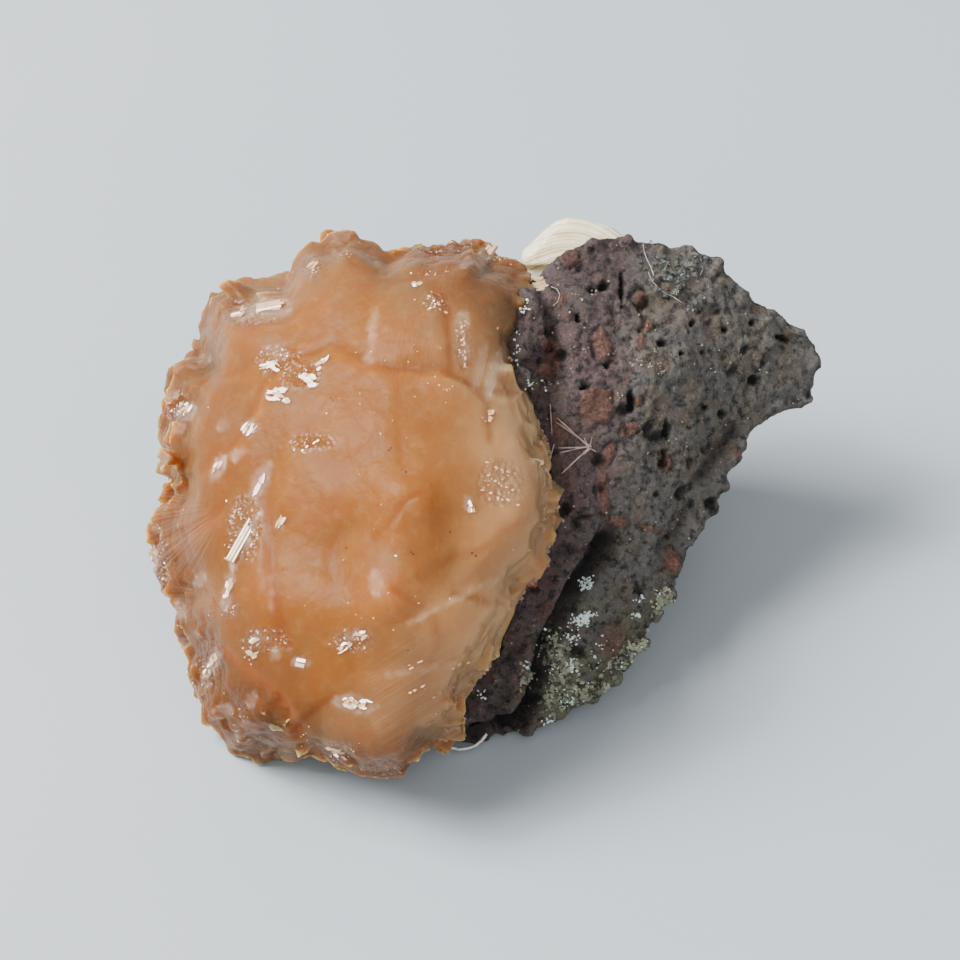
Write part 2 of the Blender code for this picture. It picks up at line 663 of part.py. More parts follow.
def crystal(point, along, length, half_width, draw):
    """A small four-sided crystal with a blunt point, standing on point."""
    sides = 4
    corners = []
    for level, share in ((-0.4, 1.0), (0.7, 1.0), (1.0, 0.35)):
        for side in range(sides):
            turn = math.tau * side / sides
            wide = half_width * share
            corners.append((wide * math.cos(turn), wide * math.sin(turn), level * length))
    place = place_on(point, any_way(draw).cross(along), along)
    return hull([place @ (Vector(corner) * MM) for corner in corners])


def crust(spots, crystals, length, draw):
    """A thin crust of lumps (right, up, radius) on the rock, with small crystals standing on it."""
    find = surface_finder(plain_rock())
    lumps = []
    for right, up, radius in spots:
        point, normal = find(right, up)
        lumps.append(flat_ball(point, radius, CRUST_THICKNESS, normal))
    for _ in range(crystals):
        right, up, radius = draw.choice(spots)
        side, rise = (0.7 * radius * draw.uniform(-1, 1) for _ in range(2))
        point, normal = find(right + side, up + rise)
        if point is None:
            continue
        along = (normal + 0.5 * any_way(draw)).normalized()
        size = length * draw.uniform(0.7, 1.2)
        lumps.append(crystal(point, along, size, 0.34 * length, draw))
    first, *others = lumps
    joined = combine(first, others, "UNION")
    return tidy(combine(joined, [table(), *rock_blocks(CONTACT_GAP)], "DIFFERENCE"))


def glassy_crystals():
    """Clear blocky crystals in the hollow at the rock's top edge."""
    return crust(GLASS_LUMPS, GLASS_CRYSTALS, GLASS_LENGTH, random.Random(3))


def green_druse():
    """The sparkling crust on the rock's lower right."""
    return crust(DRUSE_LUMPS, DRUSE_CRYSTALS, DRUSE_LENGTH, random.Random(8))


def white_rim():
    """The thin white crust under the rock's lower left edge."""
    return crust(RIM_LUMPS, 0, 1.0, random.Random(9))


def needles():
    """Needles that spread from one point over the rock beside the orange cluster."""
    find = surface_finder(plain_rock())
    hub = find(*NEEDLE_HUB)[0] + face(0.0, 0.0, NEEDLE_LIFT[0])
    rods = [ball(hub, 1.6 * NEEDLE_HALF_WIDTH * MM)]
    for right, up in NEEDLE_TIPS:
        tip = find(right, up)[0] + face(0.0, 0.0, NEEDLE_LIFT[1])
        place = place_on(hub, tip - hub, Vector((0.0, 0.0, 1.0)))
        corners = []
        for share, width in ((0.0, 1.0), (0.9, 1.0), (1.0, 0.4)):
            for side in range(5):
                turn = math.tau * side / 5
                wide = NEEDLE_HALF_WIDTH * MM * width
                reach = (tip - hub).length * share
                corners.append(place @ Vector((reach, wide * math.cos(turn), wide * math.sin(turn))))
        rods.append(hull(corners))
    first, *others = rods
    return tidy(combine(first, others, "UNION"))


# The part


def material(name, colour, roughness, transmission=0.0):
    """A plain finish."""
    made = bpy.data.materials.new(name)
    made.use_nodes = True
    shader = made.node_tree.nodes["Principled BSDF"]
    shader.inputs["Base Color"].default_value = (*colour, 1.0)
    shader.inputs["Roughness"].default_value = roughness
    shader.inputs["Metallic"].default_value = 0.0
    shader.inputs["Transmission Weight"].default_value = transmission
    return made


def add(name, solid, finish):
    """Puts a finished solid into the scene under its own name."""
    solid.name = name
    solid.data.name = name
    solid.data.materials.clear()
    solid.data.materials.append(finish)
    bpy.context.scene.collection.objects.link(solid)
    return solid


def settle(solids):
    """Leans the face back, then puts the origin under the middle of all, at table height."""
    lean = Matrix.Rotation(math.radians(90.0 - FACE_LEAN_DEG), 4, "X")
    for solid in solids:
        solid.data.transform(Matrix.Translation(face(0.0, 0.0, TABLE_DROP)) @ lean)
    points = [vert.co for solid in solids for vert in solid.data.vertices]
    middle = [(min(p[axis] for p in points) + max(p[axis] for p in points)) / 2 for axis in (0, 1)]
    for solid in solids:
        solid.data.transform(Matrix.Translation((-middle[0], -middle[1], 0.0)))


def main():
    """Builds the specimen."""
    for old in list(bpy.data.objects):
        bpy.data.objects.remove(old)
    stone = material("basalt", (0.075, 0.062, 0.057), 0.75)
    orange = material("orange crystal", (0.55, 0.26, 0.11), 0.3)
    cream = material("cream crystal", (0.75, 0.66, 0.5), 0.3)
    clear = material("clear crystal", (0.8, 0.8, 0.78), 0.08, 0.8)
    green = material("green druse", (0.24, 0.27, 0.2), 0.3)
    pink = material("pink needle", (0.6, 0.45, 0.4), 0.3)
    white = material("white crust", (0.8, 0.78, 0.74), 0.5)
    solids = [
        add("basalt_matrix", basalt(), stone),
        add("orange_crystals", orange_cluster(), orange),
        add("pale_crystal_sheaf", pale_sheaf(), cream),
        add("glassy_crystals", glassy_crystals(), clear),
        add("green_druse", green_druse(), green),
        add("needle_spray", needles(), pink),
        add("white_rim", white_rim(), white),
    ]
    settle(solids)


if __name__ == "__main__":
    main()
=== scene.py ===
"""Orange aragonite on basalt, dressed over its CAD frame.

A hand specimen lies leaned back on a table: a waxy orange cluster of grown-together crystal sheaves
on dark, vesicular lava. Small pieces sit on both: pearly cleavage faces, a pale sheaf, glassy crystals,
hairs, a green druse, needles and a white rim. Places on the display face are given in pixels of the
960 pixel photograph, and a ray from the camera finds the surface there. The face leans back by 45
degrees: FACE_ORIGIN is its middle, and WINDOW is where the light comes from.
"""

import logging
import math
from dataclasses import dataclass, field
from enum import Enum
from random import Random
from typing import Iterable, Optional, Sequence

import bmesh
import bpy
import numpy as np
from mathutils import Matrix, Vector, kdtree, noise
from mathutils.bvhtree import BVHTree


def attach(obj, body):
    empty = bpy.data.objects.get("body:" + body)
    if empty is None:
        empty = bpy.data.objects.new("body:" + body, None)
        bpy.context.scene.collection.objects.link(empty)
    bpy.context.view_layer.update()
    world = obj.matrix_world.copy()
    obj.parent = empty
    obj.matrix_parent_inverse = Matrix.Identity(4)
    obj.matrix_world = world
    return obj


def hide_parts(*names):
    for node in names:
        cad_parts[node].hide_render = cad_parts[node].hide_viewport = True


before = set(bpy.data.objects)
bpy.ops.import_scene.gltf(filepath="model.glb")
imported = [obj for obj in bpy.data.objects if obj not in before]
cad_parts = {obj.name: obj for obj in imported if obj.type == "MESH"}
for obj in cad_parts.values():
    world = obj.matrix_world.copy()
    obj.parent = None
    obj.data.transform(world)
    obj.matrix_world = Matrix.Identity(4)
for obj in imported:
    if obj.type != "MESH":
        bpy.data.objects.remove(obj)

Mesh = bpy.types.Mesh
Shape = bmesh.types.BMesh
Rows = np.ndarray
Pixel = tuple[float, float]
LOG = logging.getLogger("specimen")
MM = 0.001
FACE_ORIGIN = Vector((0.661, -0.998, 26.5)) * MM
FACE_TURN = Matrix.Rotation(math.radians(45.0), 3, "X")
FACE_NORMAL = FACE_TURN @ Vector((0.0, 0.0, 1.0))
FACE_OUT = np.array(FACE_NORMAL)
BODY = "root"
PIXEL = 0.142 * MM
WINDOW = Vector((-0.74, 0.0, 0.9))
GLANCE = (WINDOW.normalized() + FACE_NORMAL).normalized()


class Slot(Enum):
    """The record's material slots."""

    BASALT = "basalt"
    ORANGE = "orange_crystal"
    CREAM = "cream_crystal"
    CLEAR = "clear_crystal"
    GREEN = "green_druse"
    PINK = "pink_needle"
    WHITE = "white_crust"


# Places and surfaces


@dataclass(frozen=True)
class Sight:
    """The camera's place and lens, and the rays through the photograph's pixels."""

    target: Vector = field(default_factory=lambda: FACE_ORIGIN + FACE_TURN @ Vector((0.0, 2.7 * MM, 0.0)))
    distance: float = 0.4544
    lens: float = 120.0
    sensor: float = 36.0
    pixels: int = 960

    @property
    def place(self) -> Vector:
        """Where the camera stands."""
        return self.target + FACE_NORMAL * self.distance

    @property
    def step(self) -> float:
        """The tangent of the angle that one pixel spans."""
        return self.sensor / self.lens / self.pixels

    def ray(self, x: float, y: float) -> Vector:
        """The direction through a pixel.

        Args:
            x: Pixels from the photograph's left side.
            y: Pixels from its top.

        Returns:
            A unit vector.
        """
        middle = self.pixels / 2
        aside = Vector(((x - middle) * self.step, (middle - y) * self.step, -1.0))
        return (FACE_TURN @ aside).normalized()

    def pixels_of(self, points: Rows) -> Rows:
        """Where points show in the photograph.

        Args:
            points: Rows of world coordinates.

        Returns:
            Rows of pixels from the left and from the top.
        """
        turn = np.array(FACE_TURN)
        local = (points - np.array(self.place)) @ turn
        shown = local[:, :2] / -local[:, 2:3] / self.step
        return np.stack((self.pixels / 2 + shown[:, 0], self.pixels / 2 - shown[:, 1]), axis=1)


SIGHT = Sight()


@dataclass(frozen=True)
class Spot:
    """A point of a surface with its outward normal."""

    point: Vector
    normal: Vector


class Surface:
    """A mesh that small pieces are set on."""

    def __init__(self, mesh: Mesh) -> None:
        """Keeps the mesh's triangles for searching.

        Args:
            mesh: The mesh, in world coordinates.
        """
        bm = bmesh.new()
        bm.from_mesh(mesh)
        self._tree = BVHTree.FromBMesh(bm)
        areas = [(f.calc_center_median(), f.normal.copy(), f.calc_area()) for f in bm.faces]
        bm.free()
        self._places = [Spot(centre, normal) for centre, normal, _ in areas]
        self._weights = np.cumsum([area for _, _, area in areas])

    def at_pixel(self, x: float, y: float) -> Optional[Spot]:
        """The spot that shows at a pixel of the photograph, or None."""
        point, normal, _, _ = self._tree.ray_cast(SIGHT.place, SIGHT.ray(x, y))
        return Spot(point, normal) if point is not None else None

    def nearest(self, place: Vector) -> Spot:
        """The spot nearest to a place."""
        point, normal, _, _ = self._tree.find_nearest(place)
        return Spot(point, normal)

    def anywhere(self, draw: Random) -> Spot:
        """A spot drawn evenly over the whole surface."""
        found = int(np.searchsorted(self._weights, draw.random() * self._weights[-1]))
        return self._places[min(found, len(self._places) - 1)]


def cad_surface(node: str) -> Surface:
    """A CAD node's surface."""
    return Surface(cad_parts[node].data)


def foremost(surfaces: Iterable[Surface], x: float, y: float) -> Optional[Spot]:
    """The spot that shows at a pixel where surfaces may overlap, or None."""
    spots = [spot for spot in (surface.at_pixel(x, y) for surface in surfaces) if spot]
    return max(spots, key=lambda spot: spot.point.dot(FACE_NORMAL), default=None)


def merged_copy(node: str) -> Shape:
    """A CAD node's mesh with its loose triangles merged.

    Args:
        node: The node's name.

    Returns:
        A bmesh of its own.
    """
    bm = bmesh.new()
    bm.from_mesh(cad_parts[node].data)
    bmesh.ops.remove_doubles(bm, verts=bm.verts, dist=1e-7)
    return bm


def mesh_from(bm: Shape, name: str) -> Mesh:
    """Turns a bmesh into a mesh and frees it.

    Args:
        bm: The bmesh.
        name: The mesh's name.

    Returns:
        The mesh.
    """
    mesh = bpy.data.meshes.new(name)
    bm.to_mesh(mesh)
    bm.free()
    return mesh


def remeshed(bm: Shape, grain: float, name: str, kept: float = 1.0) -> Mesh:
    """The overlapping shapes of a bmesh as one closed skin.

    Args:
        bm: The bmesh, which is used up.
        grain: Side of the skin's faces, in metres.
        name: The new mesh's name.
        kept: Share of the triangles that is kept, most of them where the skin bends.

    Returns:
        The skin.
    """
    rough = bpy.data.objects.new(name, mesh_from(bm, name + "_rough"))
    bpy.context.scene.collection.objects.link(rough)
    step = rough.modifiers.new("skin", "REMESH")
    step.mode = "VOXEL"
    step.voxel_size = grain
    if kept < 1.0:
        thinned = rough.modifiers.new("thinned", "DECIMATE")
        thinned.ratio = kept
    bpy.context.view_layer.update()
    graph = bpy.context.evaluated_depsgraph_get()
    mesh = bpy.data.meshes.new_from_object(rough.evaluated_get(graph))
    mesh.name = name
    spent = rough.data
    bpy.data.objects.remove(rough)
    bpy.data.meshes.remove(spent)
    return mesh


def relaxed(mesh: Mesh, rounds: int, factor: float) -> None:
    """Smooths a mesh in place.

    Args:
        mesh: The mesh.
        rounds: How many times.
        factor: Share of the way to the neighbours' middle, each time.
    """
    bm = bmesh.new()
    bm.from_mesh(mesh)
    for _ in range(rounds):
        bmesh.ops.smooth_vert(
            bm, verts=bm.verts, factor=factor, use_axis_x=True, use_axis_y=True, use_axis_z=True
        )
    bm.to_mesh(mesh)
    bm.free()


def rows_from(items: bpy.types.bpy_prop_collection, name: str) -> Rows:
    """Three numbers of each item as rows.

    Args:
        items: The items.
        name: Which of their values.

    Returns:
        The rows.
    """
    flat = np.empty(len(items) * 3, np.float32)
    items.foreach_get(name, flat)
    return flat.reshape(-1, 3).astype(np.float64)


def points_of(mesh: Mesh) -> Rows:
    """The mesh's vertices as rows of coordinates."""
    return rows_from(mesh.vertices, "co")


def normals_of(mesh: Mesh) -> Rows:
    """The mesh's vertex normals as rows."""
    return rows_from(mesh.vertex_normals, "vector")


def move_points(mesh: Mesh, points: Rows) -> None:
    """Gives the mesh's vertices new coordinates, none below the table.

    Args:
        mesh: The mesh.
        points: Rows of new coordinates.
    """
    points[:, 2] = np.maximum(points[:, 2], 0.0)
    mesh.vertices.foreach_set("co", points.astype(np.float32).ravel())
    mesh.update()


def keep_value(mesh: Mesh, name: str, values: Rows) -> None:
    """Stores one number per vertex for the material to read."""
    layer = mesh.attributes.new(name, "FLOAT", "POINT")
    layer.data.foreach_set("value", values.astype(np.float32))


def facing(normals: Rows, low: float, high: float) -> Rows:
    """How much each point faces the camera, from 0 where its normal's share is low to 1 at high."""
    return ramp(normals @ FACE_OUT, low, high)


def ramp(values: Rows, low: float, high: float) -> Rows:
    """Smooth steps from 0 at low to 1 at high."""
    share = np.clip((values - low) / (high - low), 0.0, 1.0)
    return share * share * (3.0 - 2.0 * share)


def noise_at(points: Rows, size: float, shift: float = 0.0) -> Rows:
    """Smooth noise between -1 and 1.

    Args:
        points: Rows of coordinates in metres.
        size: Size of its lumps in metres.
        shift: Moves the pattern, to get another one.

    Returns:
        One number per row.
    """
    offset = Vector((shift, -shift, 0.5 * shift))
    return np.array([noise.noise(Vector(p) + offset) for p in points / size])


def sway(points: Rows, size: float) -> Rows:
    """Rows of two noises that bend a drawn line."""
    return np.stack((noise_at(points, size, 50.0), noise_at(points, size, 60.0)), axis=1)


def frame_at(spot: Spot, along: Vector, normal: Optional[Vector] = None) -> Matrix:
    """A matrix at a spot, X as near to along as the normal lets it.

    Args:
        spot: The place.
        along: The direction wanted for X.
        normal: The direction for Z, or None for the spot's own normal.

    Returns:
        The matrix.
    """
    z = (normal or spot.normal).normalized()
    y = z.cross(along).normalized()
    x = y.cross(z)
    return Matrix.Translation(spot.point) @ Matrix((x, y, z)).transposed().to_4x4()


@dataclass(frozen=True)
class Oval:
    """An oval on the display face, in pixels: middle, half width, half height, tilt in degrees, strength."""

    x: float
    y: float
    across: float
    tall: float
    tilt: float = 0.0
    strength: float = 1.0

    def far(self, shown: Rows) -> Rows:
        """How far points are from the middle, where 1 is the oval's edge.

        Args:
            shown: Rows of pixels.

        Returns:
            One number per point.
        """
        turn = math.radians(self.tilt)
        dx, dy = shown[:, 0] - self.x, shown[:, 1] - self.y
        across = (dx * math.cos(turn) - dy * math.sin(turn)) / self.across
        tall = (dx * math.sin(turn) + dy * math.cos(turn)) / self.tall
        return np.hypot(across, tall)


def ovals(*rows: tuple[float, ...]) -> tuple[Oval, ...]:
    """Ovals from rows of their numbers."""
    return tuple(Oval(*row) for row in rows)


@dataclass(frozen=True)
class Stroke:
    """A crease or ridge along a line of pixels, with its height and half width in millimetres.

    A step raises what lies to the right of the line, seen by someone who walks along it.
    """

    line: tuple[Pixel, ...]
    height: float
    width: float
    step: float = 0.0
    reach: float = 4.0

    def press(self, shown: Rows) -> tuple[Rows, Rows]:
        """How the stroke moves points.

        Args:
            shown: Rows of the points' pixels.

        Returns:
            Each point's rise in millimetres, and how near it is to the line, from 0 to 1.
        """
        far = np.full(len(shown), np.inf)
        side = np.zeros(len(shown))
        for (x, y), (to_x, to_y) in zip(self.line, self.line[1:]):
            dx, dy = to_x - x, to_y - y
            gap_x, gap_y = shown[:, 0] - x, shown[:, 1] - y
            share = np.clip((gap_x * dx + gap_y * dy) / (dx * dx + dy * dy), 0.0, 1.0)
            gap = np.hypot(gap_x - share * dx, gap_y - share * dy)
            across = (dx * gap_y - dy * gap_x) / math.hypot(dx, dy)
            closer = gap < far
            side = np.where(closer, across, side)
            far = np.where(closer, gap, far)
        far *= PIXEL / MM
        near = np.exp(-((far / self.width) ** 2))
        sides = np.clip(side * PIXEL / MM / self.width, -1.0, 1.0)
        rise = self.height * near + 0.5 * self.step * sides * np.exp(-((far / self.reach) ** 2))
        return rise, near


def any_way(draw: Random) -> Vector:
    """A drawn unit vector.

    Args:
        draw: The random draws.

    Returns:
        The vector.
    """
    while True:
        drawn = Vector((draw.uniform(-1, 1), draw.uniform(-1, 1), draw.uniform(-1, 1)))
        if 0.05 < drawn.length < 1.0:
            return drawn.normalized()


def along_face(angle: float) -> Vector:
    """The direction that shows at an angle in the photograph, in degrees anticlockwise from right."""
    turn = math.radians(angle)
    return FACE_TURN @ Vector((math.cos(turn), math.sin(turn), 0.0))


def block(
    bm: Shape, place: Matrix, size: Sequence[float], taper: float = 1.0
) -> list[bmesh.types.BMVert]:
    """Adds a box that stands on the middle of its foot, or tapers to its top.

    Args:
        bm: The bmesh that gets it.
        place: Its place.
        size: Length, width and height in metres.
        taper: Size of the top as a share of the foot.

    Returns:
        Its vertices.
    """
    made = bmesh.ops.create_cube(bm, size=1.0)["verts"]
    for vert in made:
        share = taper if vert.co.z > 0.0 else 1.0
        flat = (vert.co.x * size[0] * share, vert.co.y * size[1] * share)
        vert.co = Vector((*flat, (vert.co.z + 0.5) * size[2]))
    bmesh.ops.transform(bm, matrix=place, verts=made)
    return made


def flake(bm: Shape, place: Matrix, size: tuple[float, float, float], draw: Random) -> None:
    """Adds a thin plate with an uneven outline of five or six corners.

    Args:
        bm: The bmesh that gets it.
        place: Its place, with Z out of the surface.
        size: Length, width and thickness in metres. Two thirds of the thickness is sunk.
        draw: Draws the outline.
    """
    made = bmesh.ops.create_circle(bm, cap_ends=True, segments=draw.randint(5, 6), radius=0.5)["verts"]
    for vert in made:
        vert.co *= draw.uniform(0.7, 1.1)
    foot = made[0].link_faces[0]
    raised = bmesh.ops.extrude_face_region(bm, geom=[foot])["geom"]
    top = [g for g in raised if isinstance(g, bmesh.types.BMVert)]
    bmesh.ops.translate(bm, vec=(0.0, 0.0, 1.0), verts=top)
    whole = made + top
    bmesh.ops.scale(bm, vec=size, verts=whole)
    bmesh.ops.transform(bm, matrix=place @ Matrix.Translation((0.0, 0.0, -0.67 * size[2])), verts=whole)
    bmesh.ops.recalc_face_normals(bm, faces=list({f for v in whole for f in v.link_faces}))


def thicken(bm: Shape, faces: list[bmesh.types.BMFace], depth: float) -> None:
    """Turns flat faces into a plate that goes back from the display face.

    Args:
        bm: The bmesh that holds them.
        faces: The faces.
        depth: The plate's thickness in metres.
    """
    raised = bmesh.ops.extrude_face_region(bm, geom=faces, use_keep_orig=True)["geom"]
    under = [item for item in raised if isinstance(item, bmesh.types.BMVert)]
    bmesh.ops.translate(bm, vec=-depth * FACE_NORMAL, verts=under)
    whole = {face for vert in under for face in vert.link_faces} | set(faces)
    bmesh.ops.recalc_face_normals(bm, faces=list(whole))


def prism(
    bm: Shape, place: Matrix, width: float, length: float, sides: int, tip: float
) -> None:
    """Adds a crystal along Z with a blunt point.

    Args:
        bm: The bmesh that gets it.
        place: Its foot.
        width: Across its flats.
        length: From foot to point.
        sides: How many.
        tip: Share of the length that the point takes.
    """
    made = bmesh.ops.create_cone(
        bm, cap_ends=True, segments=sides, radius1=width / 2, radius2=width / 2, depth=length
    )["verts"]
    top = [v for v in made if v.co.z > 0.0]
    cap = next(f for f in {f for v in top for f in v.link_faces} if all(v in top for v in f.verts))
    bmesh.ops.translate(bm, vec=(0.0, 0.0, -tip * length), verts=top)
    raised = bmesh.ops.extrude_face_region(bm, geom=[cap])["geom"]
    point = [g for g in raised if isinstance(g, bmesh.types.BMVert)]
    bmesh.ops.translate(bm, vec=(0.0, 0.0, tip * length), verts=point)
    middle = sum((v.co for v in point), Vector()) / len(point)
    bmesh.ops.scale(bm, vec=(0.25, 0.25, 1.0), verts=point, space=Matrix.Translation(-middle))
    bmesh.ops.delete(bm, geom=[cap], context="FACES_ONLY")
    whole = list(set(made) | set(point))
    bmesh.ops.translate(bm, vec=(0.0, 0.0, length / 2), verts=whole)
    bmesh.ops.transform(bm, matrix=place, verts=whole)


# Materials

Tree = bpy.types.NodeTree
Socket = bpy.types.NodeSocket
RANGE = ("Value", "From Min", "From Max", "To Min", "To Max")


def colour(code: str) -> tuple[float, float, float, float]:
    """An sRGB hex colour as linear red, green, blue and alpha.

    Args:
        code: Six hex digits.

    Returns:
        The colour.
    """
    parts = [int(code[i:i + 2], 16) / 255 for i in (0, 2, 4)]
    linear = [p / 12.92 if p <= 0.04045 else ((p + 0.055) / 1.055) ** 2.4 for p in parts]
    return (*linear, 1.0)


def per(size: float) -> float:
    """The scale of a texture whose pattern repeats about every size millimetres."""
    return 1.0 / (size * MM)


def feed(tree: Tree, node: bpy.types.Node, feeds: dict) -> None:
    """Gives a node's inputs their values and links.

    Args:
        tree: The material's nodes.
        node: The node.
        feeds: For each input's name or number, a value or the socket that it is linked to.
    """
    for name, value in feeds.items():
        if isinstance(value, Socket):
            tree.links.new(value, node.inputs[name])
        else:
            node.inputs[name].default_value = value


def add_node(tree: Tree, kind: str, feeds: Optional[dict] = None, **settings: object) -> bpy.types.Node:
    """Adds a node with its settings and links.

    Args:
        tree: The material's nodes.
        kind: The node's type.
        feeds: For each input's name or number, a value or the socket that it is linked to.
        settings: The node's own settings.

    Returns:
        The node.
    """
    node = tree.nodes.new(kind)
    for name, value in settings.items():
        setattr(node, name, value)
    feed(tree, node, feeds or {})
    return node


def coated(tree: Tree, ground: str, coats: Iterable[tuple]) -> Socket:
    """Lays coats of colour over a ground.

    Args:
        tree: The material's nodes.
        ground: The colour under them all.
        coats: For each coat the socket that its share follows, that socket's values where the coat is
            absent and where it is whole, its greatest share, and its colour or a colour's socket.

    Returns:
        The colour on top.
    """
    tone = colour(ground)
    for mask, bare, whole, most, over in coats:
        share = add_node(tree, "ShaderNodeMapRange", dict(zip(RANGE, (mask, bare, whole, 0.0, most))))
        feeds = {0: share.outputs["Result"], 6: tone, 7: colour(over) if isinstance(over, str) else over}
        tone = add_node(tree, "ShaderNodeMix", feeds, data_type="RGBA").outputs[2]
    return tone


class Finish:
    """A finish: a new material whose patterns and values a subclass gives."""

    name = "finish"

    def make(self) -> bpy.types.Material:
        """Makes the material, with its reliefs laid over one another.

        Returns:
            The material.
        """
        made = bpy.data.materials.new(self.name)
        made.use_nodes = True
        tree = made.node_tree
        coords = add_node(tree, "ShaderNodeTexCoord").outputs["Object"]
        feeds, reliefs = self.dress(tree, coords)
        for height, strength, depth in reliefs:
            below = {"Normal": feeds["Normal"]} if "Normal" in feeds else {}
            relief = {"Height": height, "Strength": strength, "Distance": depth * MM, **below}
            feeds["Normal"] = add_node(tree, "ShaderNodeBump", relief).outputs["Normal"]
        feed(tree, tree.nodes["Principled BSDF"], feeds)
        return made

    def dress(self, tree: Tree, coords: Socket) -> tuple[dict, tuple]:
        """Makes the nodes of the finish's patterns.

        Args:
            tree: The material's nodes.
            coords: The Object coordinates.

        Returns:
            The shader's inputs, and each relief's height, strength and depth in millimetres.
        """
        raise NotImplementedError


@dataclass(frozen=True)
class OrangeCrystal(Finish):
    """Orange zeolite or aragonite crystal, grown in water.

    Its skin is waxy and lets light in for some millimetres, so that creases glow deeper and thin rims
    turn pale. Creases also get a painted shade, ridges and knob rims a painted highlight, and patches
    of the display face a painted shade or painted light. Fine growth lines run along its sheaves.
    """

    name = "waxy orange crystal"
    heart: str = "875423"
    # A deeper tone laid at random over cells and wisps, and the colour of the painted shade in creases.
    middle: str = "7A5838"
    rim: str = "624932"
    crease: str = "8A4A1E"
    # The real colour of pale knobs, also used for the painted highlight on knob rims and ridges.
    pale: str = "CDB4A2"
    milk: str = "B08355"
    # Painted shadow and painted light, laid on patches of the display face by the shade attribute.
    shadow: str = "5A3516"
    light: str = "D8A878"
    depth: float = 13.0 * MM
    gloss: float = 0.08

    def dress(self, tree: Tree, coords: Socket) -> tuple[dict, tuple]:
        """Warm in the middle, milky and stained in patches, with ribs and sparkling crusts. Creases and some
        patches get painted shade; other patches, ridges and knob rims get painted light.

        Args:
            tree: The material's nodes.
            coords: The Object coordinates.

        Returns:
            The shader's inputs, and the reliefs.
        """
        warmth, crease, pale, stria, lined, shade, gleam = (
            add_node(tree, "ShaderNodeAttribute", attribute_name=name).outputs["Fac"]
            for name in ("warmth", "crease", "pale", "stria", "lined", "shade", "gleam")
        )
        clouds, milk, bend, grain = (
            add_node(tree, "ShaderNodeTexNoise", {"Vector": coords, "Scale": per(size), "Detail": detail})
            for size, detail in ((6.0, 3.0), (2.0, 5.0), (4.0, 2.0), (0.6, 3.0))
        )
        wisps = add_node(tree, "ShaderNodeTexNoise", {
            "Vector": coords, "Scale": per(2.2), "Detail": 6.0, "Roughness": 0.65, "Distortion": 0.4,
        }).outputs["Fac"]
        sway = {0: bend.outputs["Color"], 1: (3.0 * MM,) * 3}
        swing = add_node(tree, "ShaderNodeVectorMath", sway, operation="MULTIPLY").outputs[0]
        bent = add_node(tree, "ShaderNodeVectorMath", {0: coords, 1: swing}, operation="ADD").outputs[0]
        cells = {"Vector": bent, "Scale": per(6.0), "Smoothness": 0.35}
        inner = add_node(tree, "ShaderNodeTexVoronoi", cells, feature="SMOOTH_F1").outputs["Color"]
        streaks = {"W": stria, "Scale": 2.6, "Detail": 2.0}
        lines = add_node(tree, "ShaderNodeTexNoise", streaks, noise_dimensions="1D").outputs["Fac"]
        points = add_node(tree, "ShaderNodeTexVoronoi", {"Vector": coords, "Scale": per(0.75)})
        shift, groove, roughness, sheen = (
            add_node(tree, "ShaderNodeMapRange", dict(zip(RANGE, row))).outputs["Result"]
            for row in (
                (clouds.outputs["Fac"], 0.3, 0.7, -0.2, 0.2), (lines, 0.42, 0.62, 0.0, 1.0),
                (gleam, 0.0, 1.0, 0.38, 0.12), (gleam, 0.0, 1.0, self.gloss, 0.42),
            )
        )
        drift = add_node(tree, "ShaderNodeMath", {0: warmth, 1: shift}).outputs[0]
        rib = add_node(tree, "ShaderNodeMath", {0: groove, 1: lined}, operation="MULTIPLY").outputs[0]
        tone = coated(tree, self.rim, (
            (drift, 0.0, 0.5, 1.0, self.middle), (drift, 0.45, 1.0, 1.0, self.heart),
            (inner, 0.2, 0.8, 0.22, self.crease), (milk.outputs["Fac"], 0.5, 0.8, 0.1, self.milk),
            (wisps, 0.52, 0.72, 0.22, self.milk), (wisps, 0.48, 0.28, 0.5, self.crease),
            # Painted shade where the shade attribute is positive, painted light where it is negative.
            (shade, 0.0, 1.0, 1.0, self.shadow), (shade, 0.0, -1.0, 1.0, self.light),
            # Painted shade in creases; pale knobs, with painted highlights on their rims and on ridges.
            (crease, 0.0, 1.0, 1.0, self.crease), (pale, 0.0, 1.0, 1.0, self.pale),
            (rib, 0.0, 1.0, 0.09, self.pale),
        ))
        reliefs = (
            (milk.outputs["Fac"], 0.45, 0.5), (grain.outputs["Fac"], 0.15, 0.1), (rib, 0.35, 0.15),
            (points.outputs["Distance"], gleam, 0.5),
        )
        return {
            "Base Color": tone, "Roughness": roughness, "Specular IOR Level": sheen, "IOR": 1.48,
            "Subsurface Weight": 1.0, "Subsurface Radius": (1.0, 0.55, 0.28), "Subsurface Scale": self.depth,
        }, reliefs


@dataclass(frozen=True)
class PearlyFace(Finish):
    """Cleavage faces of the orange crystals: pearly, glossy and nearly white where they catch light."""

    name = "pearly cleavage face"
    tone: str = "D8AC86"
    deep: str = "B58058"

    def dress(self, tree: Tree, coords: Socket) -> tuple[dict, tuple]:
        """A clouded tone under a glossy coat.

        Args:
            tree: The material's nodes.
            coords: The Object coordinates.

        Returns:
            The shader's inputs, and the reliefs.
        """
        clouds = {"Vector": coords, "Scale": per(0.8), "Detail": 2.0}
        cloud = add_node(tree, "ShaderNodeTexNoise", clouds).outputs["Fac"]
        return {
            "Base Color": coated(tree, self.tone, ((cloud, 0.5, 0.7, 0.6, self.deep),)),
            "Roughness": 0.2, "IOR": 1.53, "Subsurface Weight": 0.3, "Subsurface Radius": (1.0, 0.7, 0.5),
            "Subsurface Scale": 0.6 * MM, "Coat Weight": 1.0, "Coat Roughness": 0.1,
        }, ((cloud, 0.15, 0.1),)


